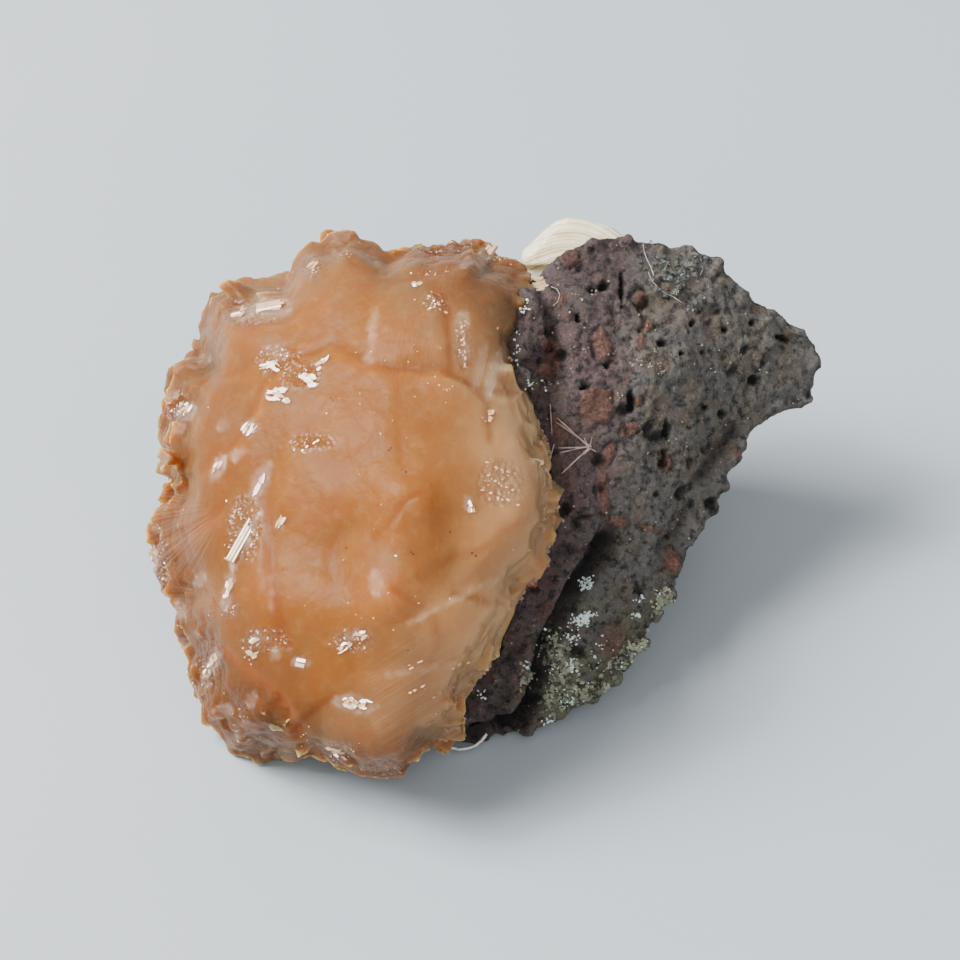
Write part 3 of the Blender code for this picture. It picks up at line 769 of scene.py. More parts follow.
@dataclass(frozen=True)
class VesicularBasalt(Finish):
    """Weathered basalt lava, broken by hand: matte, dark and grey brown, with brick red clay in its bubbles.

    Tiny crystals sparkle in it, its open bubbles, holes, creases and cleft are painted dark as shade, and
    green clay coats its lower corner.
    """

    name = "vesicular basalt"
    grey: str = "6C6863"
    brown: str = "706557"
    dark: str = "1E1C1E"
    red: str = "674C4E"
    brick: str = "85574A"
    green: str = "77775F"
    grain: str = "B4AD9F"
    clay: str = "84604F"
    baked: str = "5A3A33"
    fleck: str = "918B86"
    # The painted shade in open bubbles, holes, creases and the cleft.
    inside: str = "1B1919"

    def dress(self, tree: Tree, coords: Socket) -> tuple[dict, tuple]:
        """Mottled stone with clay, moss green, flecks and dots, and painted shade in its bubbles, holes,
        creases and cleft.

        Args:
            tree: The material's nodes.
            coords: The Object coordinates.

        Returns:
            The shader's inputs, and the reliefs.
        """
        red, filled, hollow_shade, moss = (
            add_node(tree, "ShaderNodeAttribute", attribute_name=name).outputs["Fac"]
            for name in ("redness", "filled", "hollow_shade", "green")
        )
        patches, mottle, flecks, clay, broken = (
            add_node(tree, "ShaderNodeTexNoise", {
                "Vector": coords, "Scale": per(size), "Detail": detail, "Roughness": roughness,
            }).outputs["Fac"]
            for size, detail, roughness in (
                (4.0, 5.0, 0.5), (1.3, 7.0, 0.72), (0.7, 5.0, 0.75), (0.5, 3.0, 0.5), (0.5, 6.0, 0.7),
            )
        )
        speck = add_node(tree, "ShaderNodeTexVoronoi", {"Vector": coords, "Scale": per(0.7)})
        filling = coated(tree, self.baked, ((clay, 0.36, 0.66, 1.0, self.clay),))
        tone = coated(tree, self.grey, (
            (patches, 0.42, 0.62, 1.0, self.brown), (red, 0.0, 1.0, 1.0, self.red),
            (moss, 0.0, 1.0, 1.0, self.green), (mottle, 0.52, 0.38, 0.9, self.dark),
            (mottle, 0.6, 0.72, 0.5, self.brick), (flecks, 0.56, 0.72, 0.6, self.fleck),
            (filled, 0.0, 1.0, 1.0, filling), (speck.outputs["Distance"], 0.15, 0.06, 0.5, self.grain),
            # Painted shade in the bubbles, holes, creases and cleft.
            (hollow_shade, 0.0, 1.0, 1.0, self.inside),
        ))
        sheen = add_node(tree, "ShaderNodeMapRange", dict(zip(RANGE, (flecks, 0.6, 0.5, 0.3, 0.8))))
        return {
            "Base Color": tone, "Roughness": sheen.outputs["Result"], "IOR": 1.5, "Specular IOR Level": 0.3,
        }, ((mottle, 0.9, 0.8), (broken, 1.0, 0.55))


@dataclass(frozen=True)
class CreamSheaf(Finish):
    """Cream zeolite in stacked leaves: pearly, slightly see-through, with lines along the stack."""

    name = "cream layered crystal"
    light: str = "FFF4D4"
    shade: str = "EFD9AA"
    line: str = "B08E5A"
    scatter: float = 2.5 * MM

    def dress(self, tree: Tree, coords: Socket) -> tuple[dict, tuple]:
        """A clouded cream with a seam for each leaf.

        Args:
            tree: The material's nodes.
            coords: The Object coordinates.

        Returns:
            The shader's inputs, and the reliefs.
        """
        layer = add_node(tree, "ShaderNodeAttribute", attribute_name="layer").outputs["Fac"]
        cloud, fine = (
            add_node(tree, "ShaderNodeTexNoise", {"Vector": coords, "Scale": per(size), "Detail": detail})
            for size, detail in ((1.4, 4.0), (0.5, 3.0))
        )
        stack = {"W": layer, "Scale": 1.6, "Detail": 3.0}
        seams = add_node(tree, "ShaderNodeTexNoise", stack, noise_dimensions="1D").outputs["Fac"]
        tone = coated(tree, self.light, (
            (cloud.outputs["Fac"], 0.45, 0.7, 1.0, self.shade), (seams, 0.5, 0.36, 0.4, self.line),
        ))
        return {
            "Base Color": tone, "Roughness": 0.2, "IOR": 1.5, "Subsurface Weight": 0.5,
            "Subsurface Radius": (1.0, 0.9, 0.7), "Subsurface Scale": self.scatter,
        }, ((seams, 0.8, 0.5), (fine.outputs["Fac"], 0.25, 0.15))


@dataclass(frozen=True)
class ClearCrystal(Finish):
    """Clear, colourless crystal such as apophyllite: glossy and see-through."""

    name = "clear colourless crystal"
    light: str = "F4F5F1"
    dim: str = "D8DCD2"
    roughness: float = 0.04

    def dress(self, tree: Tree, coords: Socket) -> tuple[dict, tuple]:
        """A faintly clouded glass.

        Args:
            tree: The material's nodes.
            coords: The Object coordinates.

        Returns:
            The shader's inputs, and no reliefs.
        """
        clouds = {"Vector": coords, "Scale": per(1.0), "Detail": 3.0}
        cloud = add_node(tree, "ShaderNodeTexNoise", clouds).outputs["Fac"]
        return {
            "Base Color": coated(tree, self.light, ((cloud, 0.4, 0.6, 1.0, self.dim),)),
            "Roughness": self.roughness, "IOR": 1.53, "Transmission Weight": 0.92,
        }, ()


@dataclass(frozen=True)
class GreenDruse(Finish):
    """Fine crystals over green celadonite clay: dull grey green under a sparkling white crust."""

    name = "grey green druse"
    dark: str = "42453A"
    pale: str = "9A9A80"

    def dress(self, tree: Tree, coords: Socket) -> tuple[dict, tuple]:
        """A clouded green with a fine grain.

        Args:
            tree: The material's nodes.
            coords: The Object coordinates.

        Returns:
            The shader's inputs, and the reliefs.
        """
        cloud, grain = (
            add_node(tree, "ShaderNodeTexNoise", {"Vector": coords, "Scale": per(size), "Detail": detail})
            for size, detail in ((1.8, 4.0), (0.35, 3.0))
        )
        tone = coated(tree, self.dark, ((cloud.outputs["Fac"], 0.38, 0.62, 1.0, self.pale),))
        return {"Base Color": tone, "Roughness": 0.3, "IOR": 1.55}, ((grain.outputs["Fac"], 0.6, 0.2),)


@dataclass(frozen=True)
class SilkyWhite(Finish):
    """White to pinkish fibres and crusts of zeolite: silky, a little see-through."""

    name = "silky white zeolite"
    light: str = "EFE6DF"
    shade: str = "CFB3A6"

    def dress(self, tree: Tree, coords: Socket) -> tuple[dict, tuple]:
        """A clouded, silky tone.

        Args:
            tree: The material's nodes.
            coords: The Object coordinates.

        Returns:
            The shader's inputs, and no reliefs.
        """
        clouds = {"Vector": coords, "Scale": per(0.9), "Detail": 3.0}
        cloud = add_node(tree, "ShaderNodeTexNoise", clouds).outputs["Fac"]
        return {
            "Base Color": coated(tree, self.light, ((cloud, 0.35, 0.65, 1.0, self.shade),)),
            "Roughness": 0.3, "IOR": 1.5, "Subsurface Weight": 0.3, "Subsurface Scale": 0.5 * MM,
        }, ()


@dataclass(frozen=True)
class PaleTable(Finish):
    """Matte painted board, pale and slightly blue, that the specimen lies on."""

    name = "pale matte board"
    tone: str = "B4BBC0"
    cool: str = "B0B8BD"

    def dress(self, tree: Tree, coords: Socket) -> tuple[dict, tuple]:
        """A nearly even tone.

        Args:
            tree: The material's nodes.
            coords: The Object coordinates.

        Returns:
            The shader's inputs, and no reliefs.
        """
        clouds = {"Vector": coords, "Scale": per(90.0), "Detail": 2.0}
        cloud = add_node(tree, "ShaderNodeTexNoise", clouds).outputs["Fac"]
        tone = coated(tree, self.tone, ((cloud, 0.3, 0.7, 1.0, self.cool),))
        return {"Base Color": tone, "Roughness": 0.9}, ()


# Pieces


def show(
    name: str, shape: Mesh | Shape, finish: Finish, smooth: bool = False,
    replaced: Iterable[str] = (),
) -> None:
    """Puts a finished piece into the scene and tells the frame about it.

    Args:
        name: The piece's name.
        shape: Its mesh, or a bmesh that is used up, in world coordinates.
        finish: Its finish.
        smooth: Whether its faces are shaded smooth.
        replaced: The CAD nodes that it stands for.
    """
    mesh = mesh_from(shape, name) if isinstance(shape, Shape) else shape
    mesh.name = name
    mesh.materials.clear()
    mesh.materials.append(finish.make())
    mesh.polygons.foreach_set("use_smooth", [smooth] * len(mesh.polygons))
    mesh.update()
    piece = bpy.data.objects.new(name, mesh)
    bpy.context.scene.collection.objects.link(piece)
    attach(piece, BODY)
    for node in replaced:
        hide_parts(node)
    LOG.info("%s: %d faces", name, len(mesh.polygons))


@dataclass(frozen=True)
class Knob:
    """A blunt crystal that shows at a pixel of the photograph, in pixels and degrees."""

    x: float
    y: float
    length: float
    width: float
    angle: float
    out: float = 0.6
    pale: float = 0.7


@dataclass(frozen=True)
class Lines:
    """Growth lines on part of the display face: a disc of pixels, and what the lines do in it.

    With an apex they spread from it, and without one they run at an angle.
    """

    x: float
    y: float
    radius: float
    angle: float = 0.0
    apex: Optional[Pixel] = None
    strength: float = 1.0


@dataclass
class OrangeCluster:
    """The orange cluster: the CAD cluster's fans and blocks under small grown-together crystals.

    A waxy plate fills the middle of its display face. It is worked out on a grid between the left, right,
    top and bottom pixels given, a cell every few pixels. Cover, blend and hem are counted in cells.
    """

    grain: float = 0.33 * MM
    kept: float = 0.44
    grid: tuple[int, int, int, int] = (126, 582, 210, 798)
    cell: int = 4
    cover: int = 4
    blend: int = 16
    hem: int = 3
    plate: float = 4.0 * MM
    blade: float = 4.0 * MM
    knob_height: float = 5.0 * MM
    knob_out: float = 0.5
    rim: float = 0.85
    tries: int = 1300
    turns: int = 180
    give: tuple[float, float] = (0.88, 1.06)
    seed: int = 4
    heart: tuple[float, float] = (345.0, 500.0)
    spread: tuple[float, float] = (192.0, 262.0)
    lumps: tuple[tuple[float, float, float], ...] = ((4.6, 0.26, 3.0), (2.0, 0.07, 9.0))
    outline: tuple[Pixel, ...] = (
        (445, 736), (426, 752), (404, 777), (385, 780), (348, 775), (311, 758), (293, 764), (260, 765),
        (230, 754), (217, 736), (200, 725), (198, 706), (186, 680), (184, 658), (171, 632), (174, 612),
        (161, 595), (158, 580), (147, 554), (144, 532), (148, 517), (160, 490), (155, 469), (158, 447),
        (154, 432), (158, 406), (163, 388), (167, 369), (191, 347), (195, 328), (206, 299), (210, 288),
        (222, 280), (256, 277), (282, 273), (289, 265), (297, 251), (326, 228), (348, 227), (367, 238),
        (389, 249), (404, 243), (437, 243), (463, 238), (491, 236),
    )
    knobs: tuple[Knob, ...] = tuple(Knob(*row) for row in (
        (218, 468, 26, 11, 62, 0.6, 0.6), (237, 454, 14, 10, 30, 0.5, 0.6),
        (261, 480, 34, 13, 62, 0.6, 0.6), (226, 600, 18, 9, 78, 0.5, 0.5), (230, 580, 20, 9, 80, 0.5, 0.5),
        (301, 663, 15, 11, -15, 0.5, 0.6), (275, 652, 11, 11, 0, 0.5, 0.4), (258, 640, 12, 9, 40, 0.4, 0.4),
        (211, 665, 30, 9, 62, 0.7, 0.7), (250, 428, 15, 15, 40, 0.6, 0.6),
        (277, 352, 24, 12, -15, 0.6, 0.4), (186, 412, 20, 16, 30, 0.7, 0.4),
        (172, 396, 12, 10, 60, 0.6, 0.4), (180, 428, 12, 10, 10, 0.6, 0.4),
        (162, 455, 18, 13, 80, 0.8, 0.4), (158, 480, 14, 12, 100, 0.8, 0.3),
        (152, 560, 10, 22, 0, 0.9, 0.7), (486, 252, 28, 11, 62, 0.9, 0.6), (468, 262, 16, 8, 45, 0.5, 0.4),
        (463, 322, 22, 12, 85, 0.5, 0.4), (466, 350, 20, 11, 95, 0.5, 0.4),
        (494, 374, 52, 10, 72, 0.6, 0.6), (480, 366, 44, 8, 74, 0.4, 0.4), (186, 345, 18, 12, 40, 0.6, 0.3),
        (180, 610, 18, 12, 100, 0.6, 0.4), (200, 580, 16, 10, 60, 0.5, 0.5),
        (190, 640, 20, 11, 30, 0.6, 0.3), (244, 542, 58, 8, 64, 0.4, 0.7), (243, 312, 22, 14, 20, 0.4, 0.6),
        (205, 360, 14, 10, 50, 0.5, 0.3), (222, 425, 12, 9, 70, 0.4, 0.3), (200, 690, 24, 12, 50, 0.6, 0.2),
        (222, 712, 22, 13, 20, 0.7, 0.3), (246, 728, 24, 13, -10, 0.6, 0.2),
        (262, 748, 22, 11, 10, 0.7, 0.3), (232, 742, 18, 11, 40, 0.7, 0.3),
        (252, 700, 16, 10, 70, 0.5, 0.3), (285, 755, 20, 9, 0, 0.6, 0.3), (402, 240, 20, 10, -20, 0.6, 0.4),
        (372, 338, 44, 7, 84, 0.35, 0.4), (525, 412, 46, 30, 20, 0.4, 0.15),
        (376, 584, 14, 22, 0, 0.1, 0.35), (355, 704, 40, 16, -8, 0.2, 0.45),
        (356, 636, 26, 9, 12, 0.3, 0.4), (470, 507, 14, 8, 105, 0.2, 0.5), (280, 523, 12, 6, 70, 0.3, 0.5),
        (340, 236, 18, 14, 30, 0.6, 0.2), (272, 308, 36, 20, 0, 0.3, 0.5),
    ))
    strokes: tuple[Stroke, ...] = (
        Stroke(((256, 408), (264, 386), (285, 364), (310, 353), (332, 346), (352, 352), (371, 364),
            (402, 370), (440, 372), (470, 382), (488, 400)), -0.4, 0.7, 0.8, 5.0),
        Stroke(((376, 312), (368, 362)), 0.3, 0.5, -0.4, 3.5),
        Stroke(((262, 470), (268, 520), (270, 560), (276, 610), (286, 645)), -0.35, 1.0, 0.4, 4.0),
        Stroke(((272, 575), (273, 612)), 0.2, 0.35),
        Stroke(((413, 496), (396, 514), (368, 546)), -0.2, 0.5, 0.2, 4.0),
        Stroke(((500, 578), (470, 592), (432, 610), (410, 622)), 0.25, 0.35, -0.3, 4.0),
        Stroke(((386, 674), (430, 668), (473, 661)), 0.2, 0.3, 0.4, 4.0),
        Stroke(((205, 640), (224, 651), (252, 673), (279, 694), (291, 722), (312, 752), (330, 764)),
            -0.5, 0.8, -0.5, 4.5),
        Stroke(((230, 330), (262, 326), (292, 316), (320, 300)), -0.25, 0.6, 0.4, 4.0),
        Stroke(((448, 300), (449, 338), (452, 370), (485, 402), (490, 440)), -0.25, 0.6, 0.2, 3.0),
        Stroke(((183, 490), (205, 468), (232, 444), (252, 412)), -0.3, 0.7, 0.4, 4.0),
        Stroke(((222, 508), (196, 530), (168, 540), (188, 568), (216, 604)), -0.4, 0.7, -0.4, 3.5),
        Stroke(((470, 384), (500, 392), (540, 394)), -0.3, 0.6, 0.4, 3.5),
        Stroke(((400, 372), (396, 420), (402, 460)), -0.08, 0.6, 0.12, 5.0),
        Stroke(((300, 430), (330, 470), (342, 520), (330, 570)), -0.1, 0.9, 0.15, 6.0),
        Stroke(((420, 255), (440, 300), (448, 330)), -0.2, 0.6, 0.3, 4.0),
        Stroke(((340, 235), (352, 262), (390, 285), (430, 276), (452, 268)), -0.25, 0.6, 0.35, 4.0),
        Stroke(((205, 380), (240, 372), (262, 352), (290, 345)), -0.3, 0.6, 0.35, 4.0),
        Stroke(((395, 590), (430, 612), (440, 640), (430, 662)), -0.12, 0.5, 0.2, 4.0),
        Stroke(((560, 500), (520, 520), (480, 550), (450, 560)), -0.1, 0.6, 0.2, 5.0),
        Stroke(((330, 700), (300, 720), (290, 745)), -0.2, 0.6, 0.3, 4.0),
        Stroke(((452, 592), (480, 600), (505, 606)), -0.3, 0.5, 0.4, 3.0),
    )
    lines: tuple[Lines, ...] = (
        Lines(172, 535, 52, apex=(228, 505)), Lines(430, 700, 80, 32.0, strength=0.8),
        Lines(270, 309, 26, 0.0), Lines(492, 376, 30, 75.0), Lines(508, 618, 30, 40.0, strength=0.5),
        Lines(410, 350, 40, 80.0, strength=0.3), Lines(535, 470, 36, 25.0, strength=0.5),
        Lines(200, 600, 36, apex=(240, 600), strength=0.5), Lines(440, 250, 40, 70.0, strength=0.4),
        Lines(290, 280, 40, 60.0, strength=0.3),
    )
    # Patches of the display face that get a painted shade where the strength is positive, painted light where
    # negative.
    painted_light_and_shade: tuple[Oval, ...] = ovals(
        (215, 420, 60, 90, 0, 0.3), (190, 560, 50, 80, 0, 0.6), (235, 690, 70, 60, 0, 0.8),
        (530, 430, 60, 70, 0, -0.6), (480, 620, 60, 50, 0, -0.5), (520, 540, 50, 50, 0, -0.32),
        (430, 690, 60, 50, 0, -0.24), (300, 270, 90, 50, 0, 0.05), (440, 260, 70, 40, 0, 0.45),
        (380, 745, 60, 30, 0, 0.02), (470, 350, 30, 40, 0, -0.2),
    )
    crust: tuple[Oval, ...] = ovals(
        (166, 440, 26, 100), (160, 575, 30, 70), (192, 660, 34, 66, 15), (250, 730, 66, 44),
        (345, 768, 56, 20), (186, 360, 26, 44, 0, 0.8), (440, 246, 60, 14, 0, 0.7),
        (225, 300, 26, 18, 0, 0.6), (340, 240, 50, 12, 0, 0.5), (412, 760, 30, 22, 0, 0.6),
        (510, 275, 16, 30, 0, 0.6),
    )
    gleams: tuple[Oval, ...] = ovals(
        (178, 406, 14, 16), (280, 360, 26, 14), (300, 374, 22, 14), (245, 530, 18, 34), (230, 608, 12, 10),
        (248, 700, 26, 22, 0, 0.25), (252, 742, 30, 12, 0, 0.3), (338, 752, 18, 12), (312, 442, 24, 8),
        (500, 482, 26, 26), (463, 345, 10, 30), (436, 302, 14, 12), (355, 640, 26, 14), (160, 560, 10, 26),
        (545, 440, 10, 14), (440, 246, 34, 12), (265, 640, 26, 14), (210, 660, 14, 26), (243, 314, 22, 14),
        (311, 266, 12, 14), (385, 768, 24, 10), (205, 350, 20, 26, 0, 0.4), (190, 700, 20, 40, 0, 0.15),
    )

    def build(self) -> Surface:
        """Makes the cluster.

        Returns:
            Its surface, for what sits on it.
        """
        bm = merged_copy("orange_crystals")
        cad = cad_surface("orange_crystals")
        self._grow(bm, cad)
        self._place_knobs(bm, cad)
        self._fill(bm, cad)
        mesh = remeshed(bm, self.grain, "orange_cluster", self.kept)
        self._press(mesh)
        self._trim(mesh)
        self._calm(mesh)
        self._relief(mesh)
        relaxed(mesh, 1, 0.3)
        self._colour(mesh)
        show("orange_cluster", mesh, OrangeCrystal(), True, ["orange_crystals"])
        return Surface(mesh)

    def _grow(self, bm: Shape, cad: Surface) -> None:
        """Lays blunt blades over the CAD cluster's rim, sides and back like shingles.

        A try that falls on the middle of the display face is left out.

        Args:
            bm: What gets them.
            cad: The CAD cluster's surface.
        """
        draw = Random(self.seed)
        centre = FACE_ORIGIN + FACE_TURN @ (Vector((-19.0, 0.0, -9.0)) * MM)
        for _ in range(self.tries):
            spot = cad.anywhere(draw)
            shown = SIGHT.pixels_of(np.array(spot.point)[None])
            if spot.normal.dot(FACE_NORMAL) > -0.1 and self._radius(shown)[0] < draw.uniform(0.75, 0.98):
                continue
            away = (spot.point - centre).normalized()
            normal = (spot.normal + 0.25 * away + 0.24 * any_way(draw)).normalized()
            size = (draw.uniform(2.0, 5.5) * MM, draw.uniform(1.3, 3.0) * MM, self.blade)
            foot = Spot(spot.point - normal * (self.blade - draw.uniform(0.05, 0.45) * MM), normal)
            block(bm, frame_at(foot, away + 0.5 * any_way(draw)), size, draw.uniform(0.8, 0.97))

    def _place_knobs(self, bm: Shape, cad: Surface) -> None:
        """Adds the knobs that the photograph shows at the cluster's rim.

        Args:
            bm: What gets them.
            cad: The CAD cluster's surface.
        """
        for knob in self.knobs:
            spot = cad.at_pixel(knob.x, knob.y)
            if spot is None or spot.normal.dot(FACE_NORMAL) < 0.5:
                continue
            if self._radius(np.array(((knob.x, knob.y),)))[0] < self.rim:
                continue
            sunk = self.knob_height - self.knob_out * knob.out * MM
            foot = Spot(spot.point - spot.normal * sunk, spot.normal)
            size = (knob.length * PIXEL, knob.width * PIXEL, self.knob_height)
            block(bm, frame_at(foot, along_face(knob.angle)), size, 0.8)

    def _fill(self, bm: Shape, cad: Surface) -> None:
        """Fills the gaps between the CAD blocks in the middle of the display face, which grew together there.

        The filling is a plate of faint domed facets that covers the blocks and dips below them at the rim.

        Args:
            bm: What gets it.
            cad: The CAD cluster's surface.
        """
        rock = cad_surface("basalt_matrix")
        left, right, top, bottom = self.grid
        columns, rows = np.arange(left, right, self.cell), np.arange(top, bottom, self.cell)
        found = np.full((len(rows), len(columns)), -np.inf)
        for i, y in enumerate(rows):
            for j, x in enumerate(columns):
                spot, hiding = cad.at_pixel(x, y), rock.at_pixel(x, y)
                if spot and (hiding is None or (spot.point - hiding.point).dot(FACE_NORMAL) > 0.0):
                    found[i, j] = (spot.point - FACE_ORIGIN).dot(FACE_NORMAL) / MM
        covered = self._covered(found)
        shown = np.stack(np.meshgrid(columns, rows), axis=-1).astype(float)
        inside, depth = np.isfinite(found), np.zeros(found.shape)
        for _ in range(self.blend):
            depth += inside
            inside = inside & np.roll(inside, 1, 0) & np.roll(inside, -1, 0)
            inside = inside & np.roll(inside, 1, 1) & np.roll(inside, -1, 1)
        band = 4.0 + 4.0 * (1.0 - ramp(shown[..., 0], 180.0, 300.0))
        inner = ramp(depth / band, 0.5, 1.5)
        lift = 0.6 - 0.4 * ramp(shown[..., 0], 400.0, 470.0)
        high = self._blurred(covered, 1.7 * self.cover) + self._facets(shown) + lift
        level = inner * high + (1.0 - inner) * (self._blurred(found, 1.5) - 1.2)
        self._ceiling, self._inner = high, inner
        wide, tall = len(columns) - 1, len(rows) - 1
        made = bmesh.ops.create_grid(bm, x_segments=wide, y_segments=tall, size=0.5)["verts"]
        drop = {}
        for vert in made:
            j, i = round((vert.co.x + 0.5) * wide), round((vert.co.y + 0.5) * tall)
            drop[vert] = depth[i, j] < self.hem
            ray = SIGHT.ray(*shown[i, j])
            away = SIGHT.distance + (SIGHT.target - FACE_ORIGIN).dot(FACE_NORMAL) - level[i, j] * MM
            vert.co = SIGHT.place + ray * (away / -ray.dot(FACE_NORMAL))
        bmesh.ops.delete(bm, geom=[vert for vert in made if drop[vert]], context="VERTS")
        plate = list({face for vert in made if vert.is_valid for face in vert.link_faces})
        thicken(bm, plate, self.plate)

    def _covered(self, found: Rows) -> Rows:
        """The highest of the heights round each cell of the grid.

        Args:
            found: The grid of heights.

        Returns:
            A grid of the same size.
        """
        reach, (tall, wide) = self.cover, found.shape
        padded = np.pad(found, reach, constant_values=-np.inf)
        covered = found.copy()
        for i in range(-reach, reach + 1):
            for j in range(-reach, reach + 1):
                if i * i + j * j <= reach * reach:
                    shifted = padded[reach + i:reach + i + tall, reach + j:reach + j + wide]
                    covered = np.maximum(covered, shifted)
        return covered

    def _blurred(self, heights: Rows, spread: float) -> Rows:
        """Smooths a grid of heights, and fills the cells that have none from their neighbours.

        Args:
            heights: The grid of heights.
            spread: How many cells it smooths over.

        Returns:
            A grid of the same size.
        """
        weight = np.isfinite(heights).astype(float)
        layers = np.stack((np.where(weight > 0.0, heights, 0.0), weight))
        kernel = np.exp(-((np.arange(-self.blend, self.blend + 1) / spread) ** 2))
        for axis in (1, 2):
            layers = np.apply_along_axis(np.convolve, axis, layers, kernel, "same")
        return layers[0] / np.maximum(layers[1], 1e-6)

    def _look_up(self, grid: Rows, shown: Rows) -> Rows:
        """Reads one of the filling's grids at pixels, blended between its cells.

        Args:
            grid: The grid, a row of cells for each of its rows.
            shown: Rows of pixels.

        Returns:
            One number per row of pixels.
        """
        left, _, top, _ = self.grid
        x = np.clip((shown[:, 0] - left) / self.cell, 0.0, grid.shape[1] - 1.001)
        y = np.clip((shown[:, 1] - top) / self.cell, 0.0, grid.shape[0] - 1.001)
        j, i = x.astype(int), y.astype(int)
        upper = grid[i, j] + (grid[i, j + 1] - grid[i, j]) * (x - j)
        lower = grid[i + 1, j] + (grid[i + 1, j + 1] - grid[i + 1, j]) * (x - j)
        return upper + (lower - upper) * (y - i)

    def _press(self, mesh: Mesh) -> None:
        """Presses what stands out of the filling back down to it.

        Args:
            mesh: The mesh.
        """
        points = points_of(mesh)
        shown = SIGHT.pixels_of(points)
        tall = (points - np.array(FACE_ORIGIN)) @ FACE_OUT / MM
        over = np.maximum(tall - self._look_up(self._ceiling, shown) - 0.15, 0.0)
        down = 0.9 * over * self._look_up(self._inner, shown)
        move_points(mesh, points - down[:, None] * FACE_OUT * MM)

    def _trim(self, mesh: Mesh) -> None:
        """Draws the rim in or out to the outline that the photograph shows against the table.

        Args:
            mesh: The mesh.
        """
        points = points_of(mesh)
        gap = SIGHT.pixels_of(points) - np.array(self.heart)
        turn, radius = np.arctan2(gap[:, 1], -gap[:, 0]), np.hypot(gap[:, 0], gap[:, 1])
        traced = np.array(self.outline) - np.array(self.heart)
        turns = np.arctan2(traced[:, 1], -traced[:, 0])[::-1]
        wanted = np.hypot(traced[:, 0], traced[:, 1])[::-1]
        bins = np.clip(((turn + math.pi) / math.tau * self.turns).astype(int), 0, self.turns - 1)
        reach = np.zeros(self.turns)
        np.maximum.at(reach, bins, radius)
        middles = (np.arange(self.turns) + 0.5) / self.turns * math.tau - math.pi
        now = np.interp(turn, middles, reach)
        scale = np.clip(np.interp(turn, turns, wanted) / now, *self.give)
        first, last, fade = turns[0], turns[-1], 0.12
        traced_part = ramp(turn, first, first + fade) * (1.0 - ramp(turn, last - fade, last))
        change = (scale - 1.0) * traced_part * ramp(radius / now, 0.55, 0.95)
        aside = np.stack((gap[:, 0], -gap[:, 1], np.zeros(len(gap))), axis=1) @ np.array(FACE_TURN).T
        move_points(mesh, points + aside * change[:, None] * PIXEL)

    def _facets(self, shown: Rows) -> Rows:
        """Heights in millimetres of big, faintly domed crystal ends that lean a little and meet in creases.

        Args:
            shown: The pixels of the grid's cells.

        Returns:
            A grid of heights.
        """
        draw = Random(self.seed + 1)
        heights = np.full(shown.shape[:2], -np.inf)
        for x in range(120, 600, 46):
            for y in range(200, 800, 50):
                across = (shown[..., 0] - x - draw.uniform(-20, 20)) * PIXEL / MM
                down = (shown[..., 1] - y - draw.uniform(-20, 20)) * PIXEL / MM
                lean = draw.gauss(0.0, 0.07) * across + draw.gauss(0.0, 0.07) * down
                dome = lean - 0.02 * (across ** 2 + down ** 2) + draw.uniform(-0.1, 0.1)
                heights = np.maximum(heights, dome)
        return heights

    def _calm(self, mesh: Mesh) -> None:
        """Smooths the skin: lightly at the rim and much more in the middle of the display face.

        Args:
            mesh: The mesh.
        """
        relaxed(mesh, 1, 0.5)
        points, normals = points_of(mesh), normals_of(mesh)
        middle = self._look_up(self._inner, SIGHT.pixels_of(points))
        relaxed(mesh, 14, 0.5)
        share = 0.1 + 0.8 * facing(normals, 0.15, 0.7) * middle
        move_points(mesh, points + (points_of(mesh) - points) * share[:, None])

    def _relief(self, mesh: Mesh) -> None:
        """Presses creases and ridges into the display face, and rounded lumps into the rest.

        Args:
            mesh: The mesh.
        """
        points, normals = points_of(mesh), normals_of(mesh)
        faced = facing(normals, 0.15, 0.7)
        shown = SIGHT.pixels_of(points)
        rim = ramp(self._radius(shown), 0.72, 1.0)
        height = 0.2 * noise_at(points, 7.0 * MM, 2.0) + 0.08 * noise_at(points, 3.0 * MM, 11.0)
        share = (1.0 - faced) + faced * (0.03 + 0.3 * rim)
        for size, tall, shift in self.lumps:
            height += self._lumpy(points, size * MM, tall, shift) * share
        height += 0.03 * noise_at(points, 0.9 * MM, 5.0)
        self._crusty = np.zeros(len(points))
        for oval in self.crust:
            here = oval.strength * (1.0 - ramp(oval.far(shown), 0.7, 1.25))
            np.maximum(self._crusty, here, out=self._crusty)
        self._crusty *= facing(normals, -0.2, 0.2)
        knobbed = self._lumpy(points, 2.9 * MM, 0.34, 17.0) + self._lumpy(points, 1.5 * MM, 0.17, 23.0)
        height += self._crusty * knobbed
        bent = shown + 2.6 * sway(points, 2.2 * MM)
        # Creases are kept as painted shade, ridges as painted highlight.
        self._creased, self._ridge_highlight = np.zeros(len(points)), np.zeros(len(points))
        for stroke in self.strokes:
            rise, near = stroke.press(bent)
            height += rise * faced
            kept = self._creased if stroke.height < 0.0 else self._ridge_highlight
            np.maximum(kept, near * faced * min(1.0, abs(stroke.height) / 0.5), out=kept)
        # Painted shade also goes into the hollows between the crusts' knobs.
        np.maximum(self._creased, 0.55 * self._crusty * ramp(-knobbed, 0.12, 0.38), out=self._creased)
        move_points(mesh, points + normals * height[:, None] * MM)

    def _radius(self, shown: Rows) -> Rows:
        """How far pixels are from the cluster's heart, where its rim is about 1."""
        return np.hypot(*((shown - self.heart) / self.spread).T)

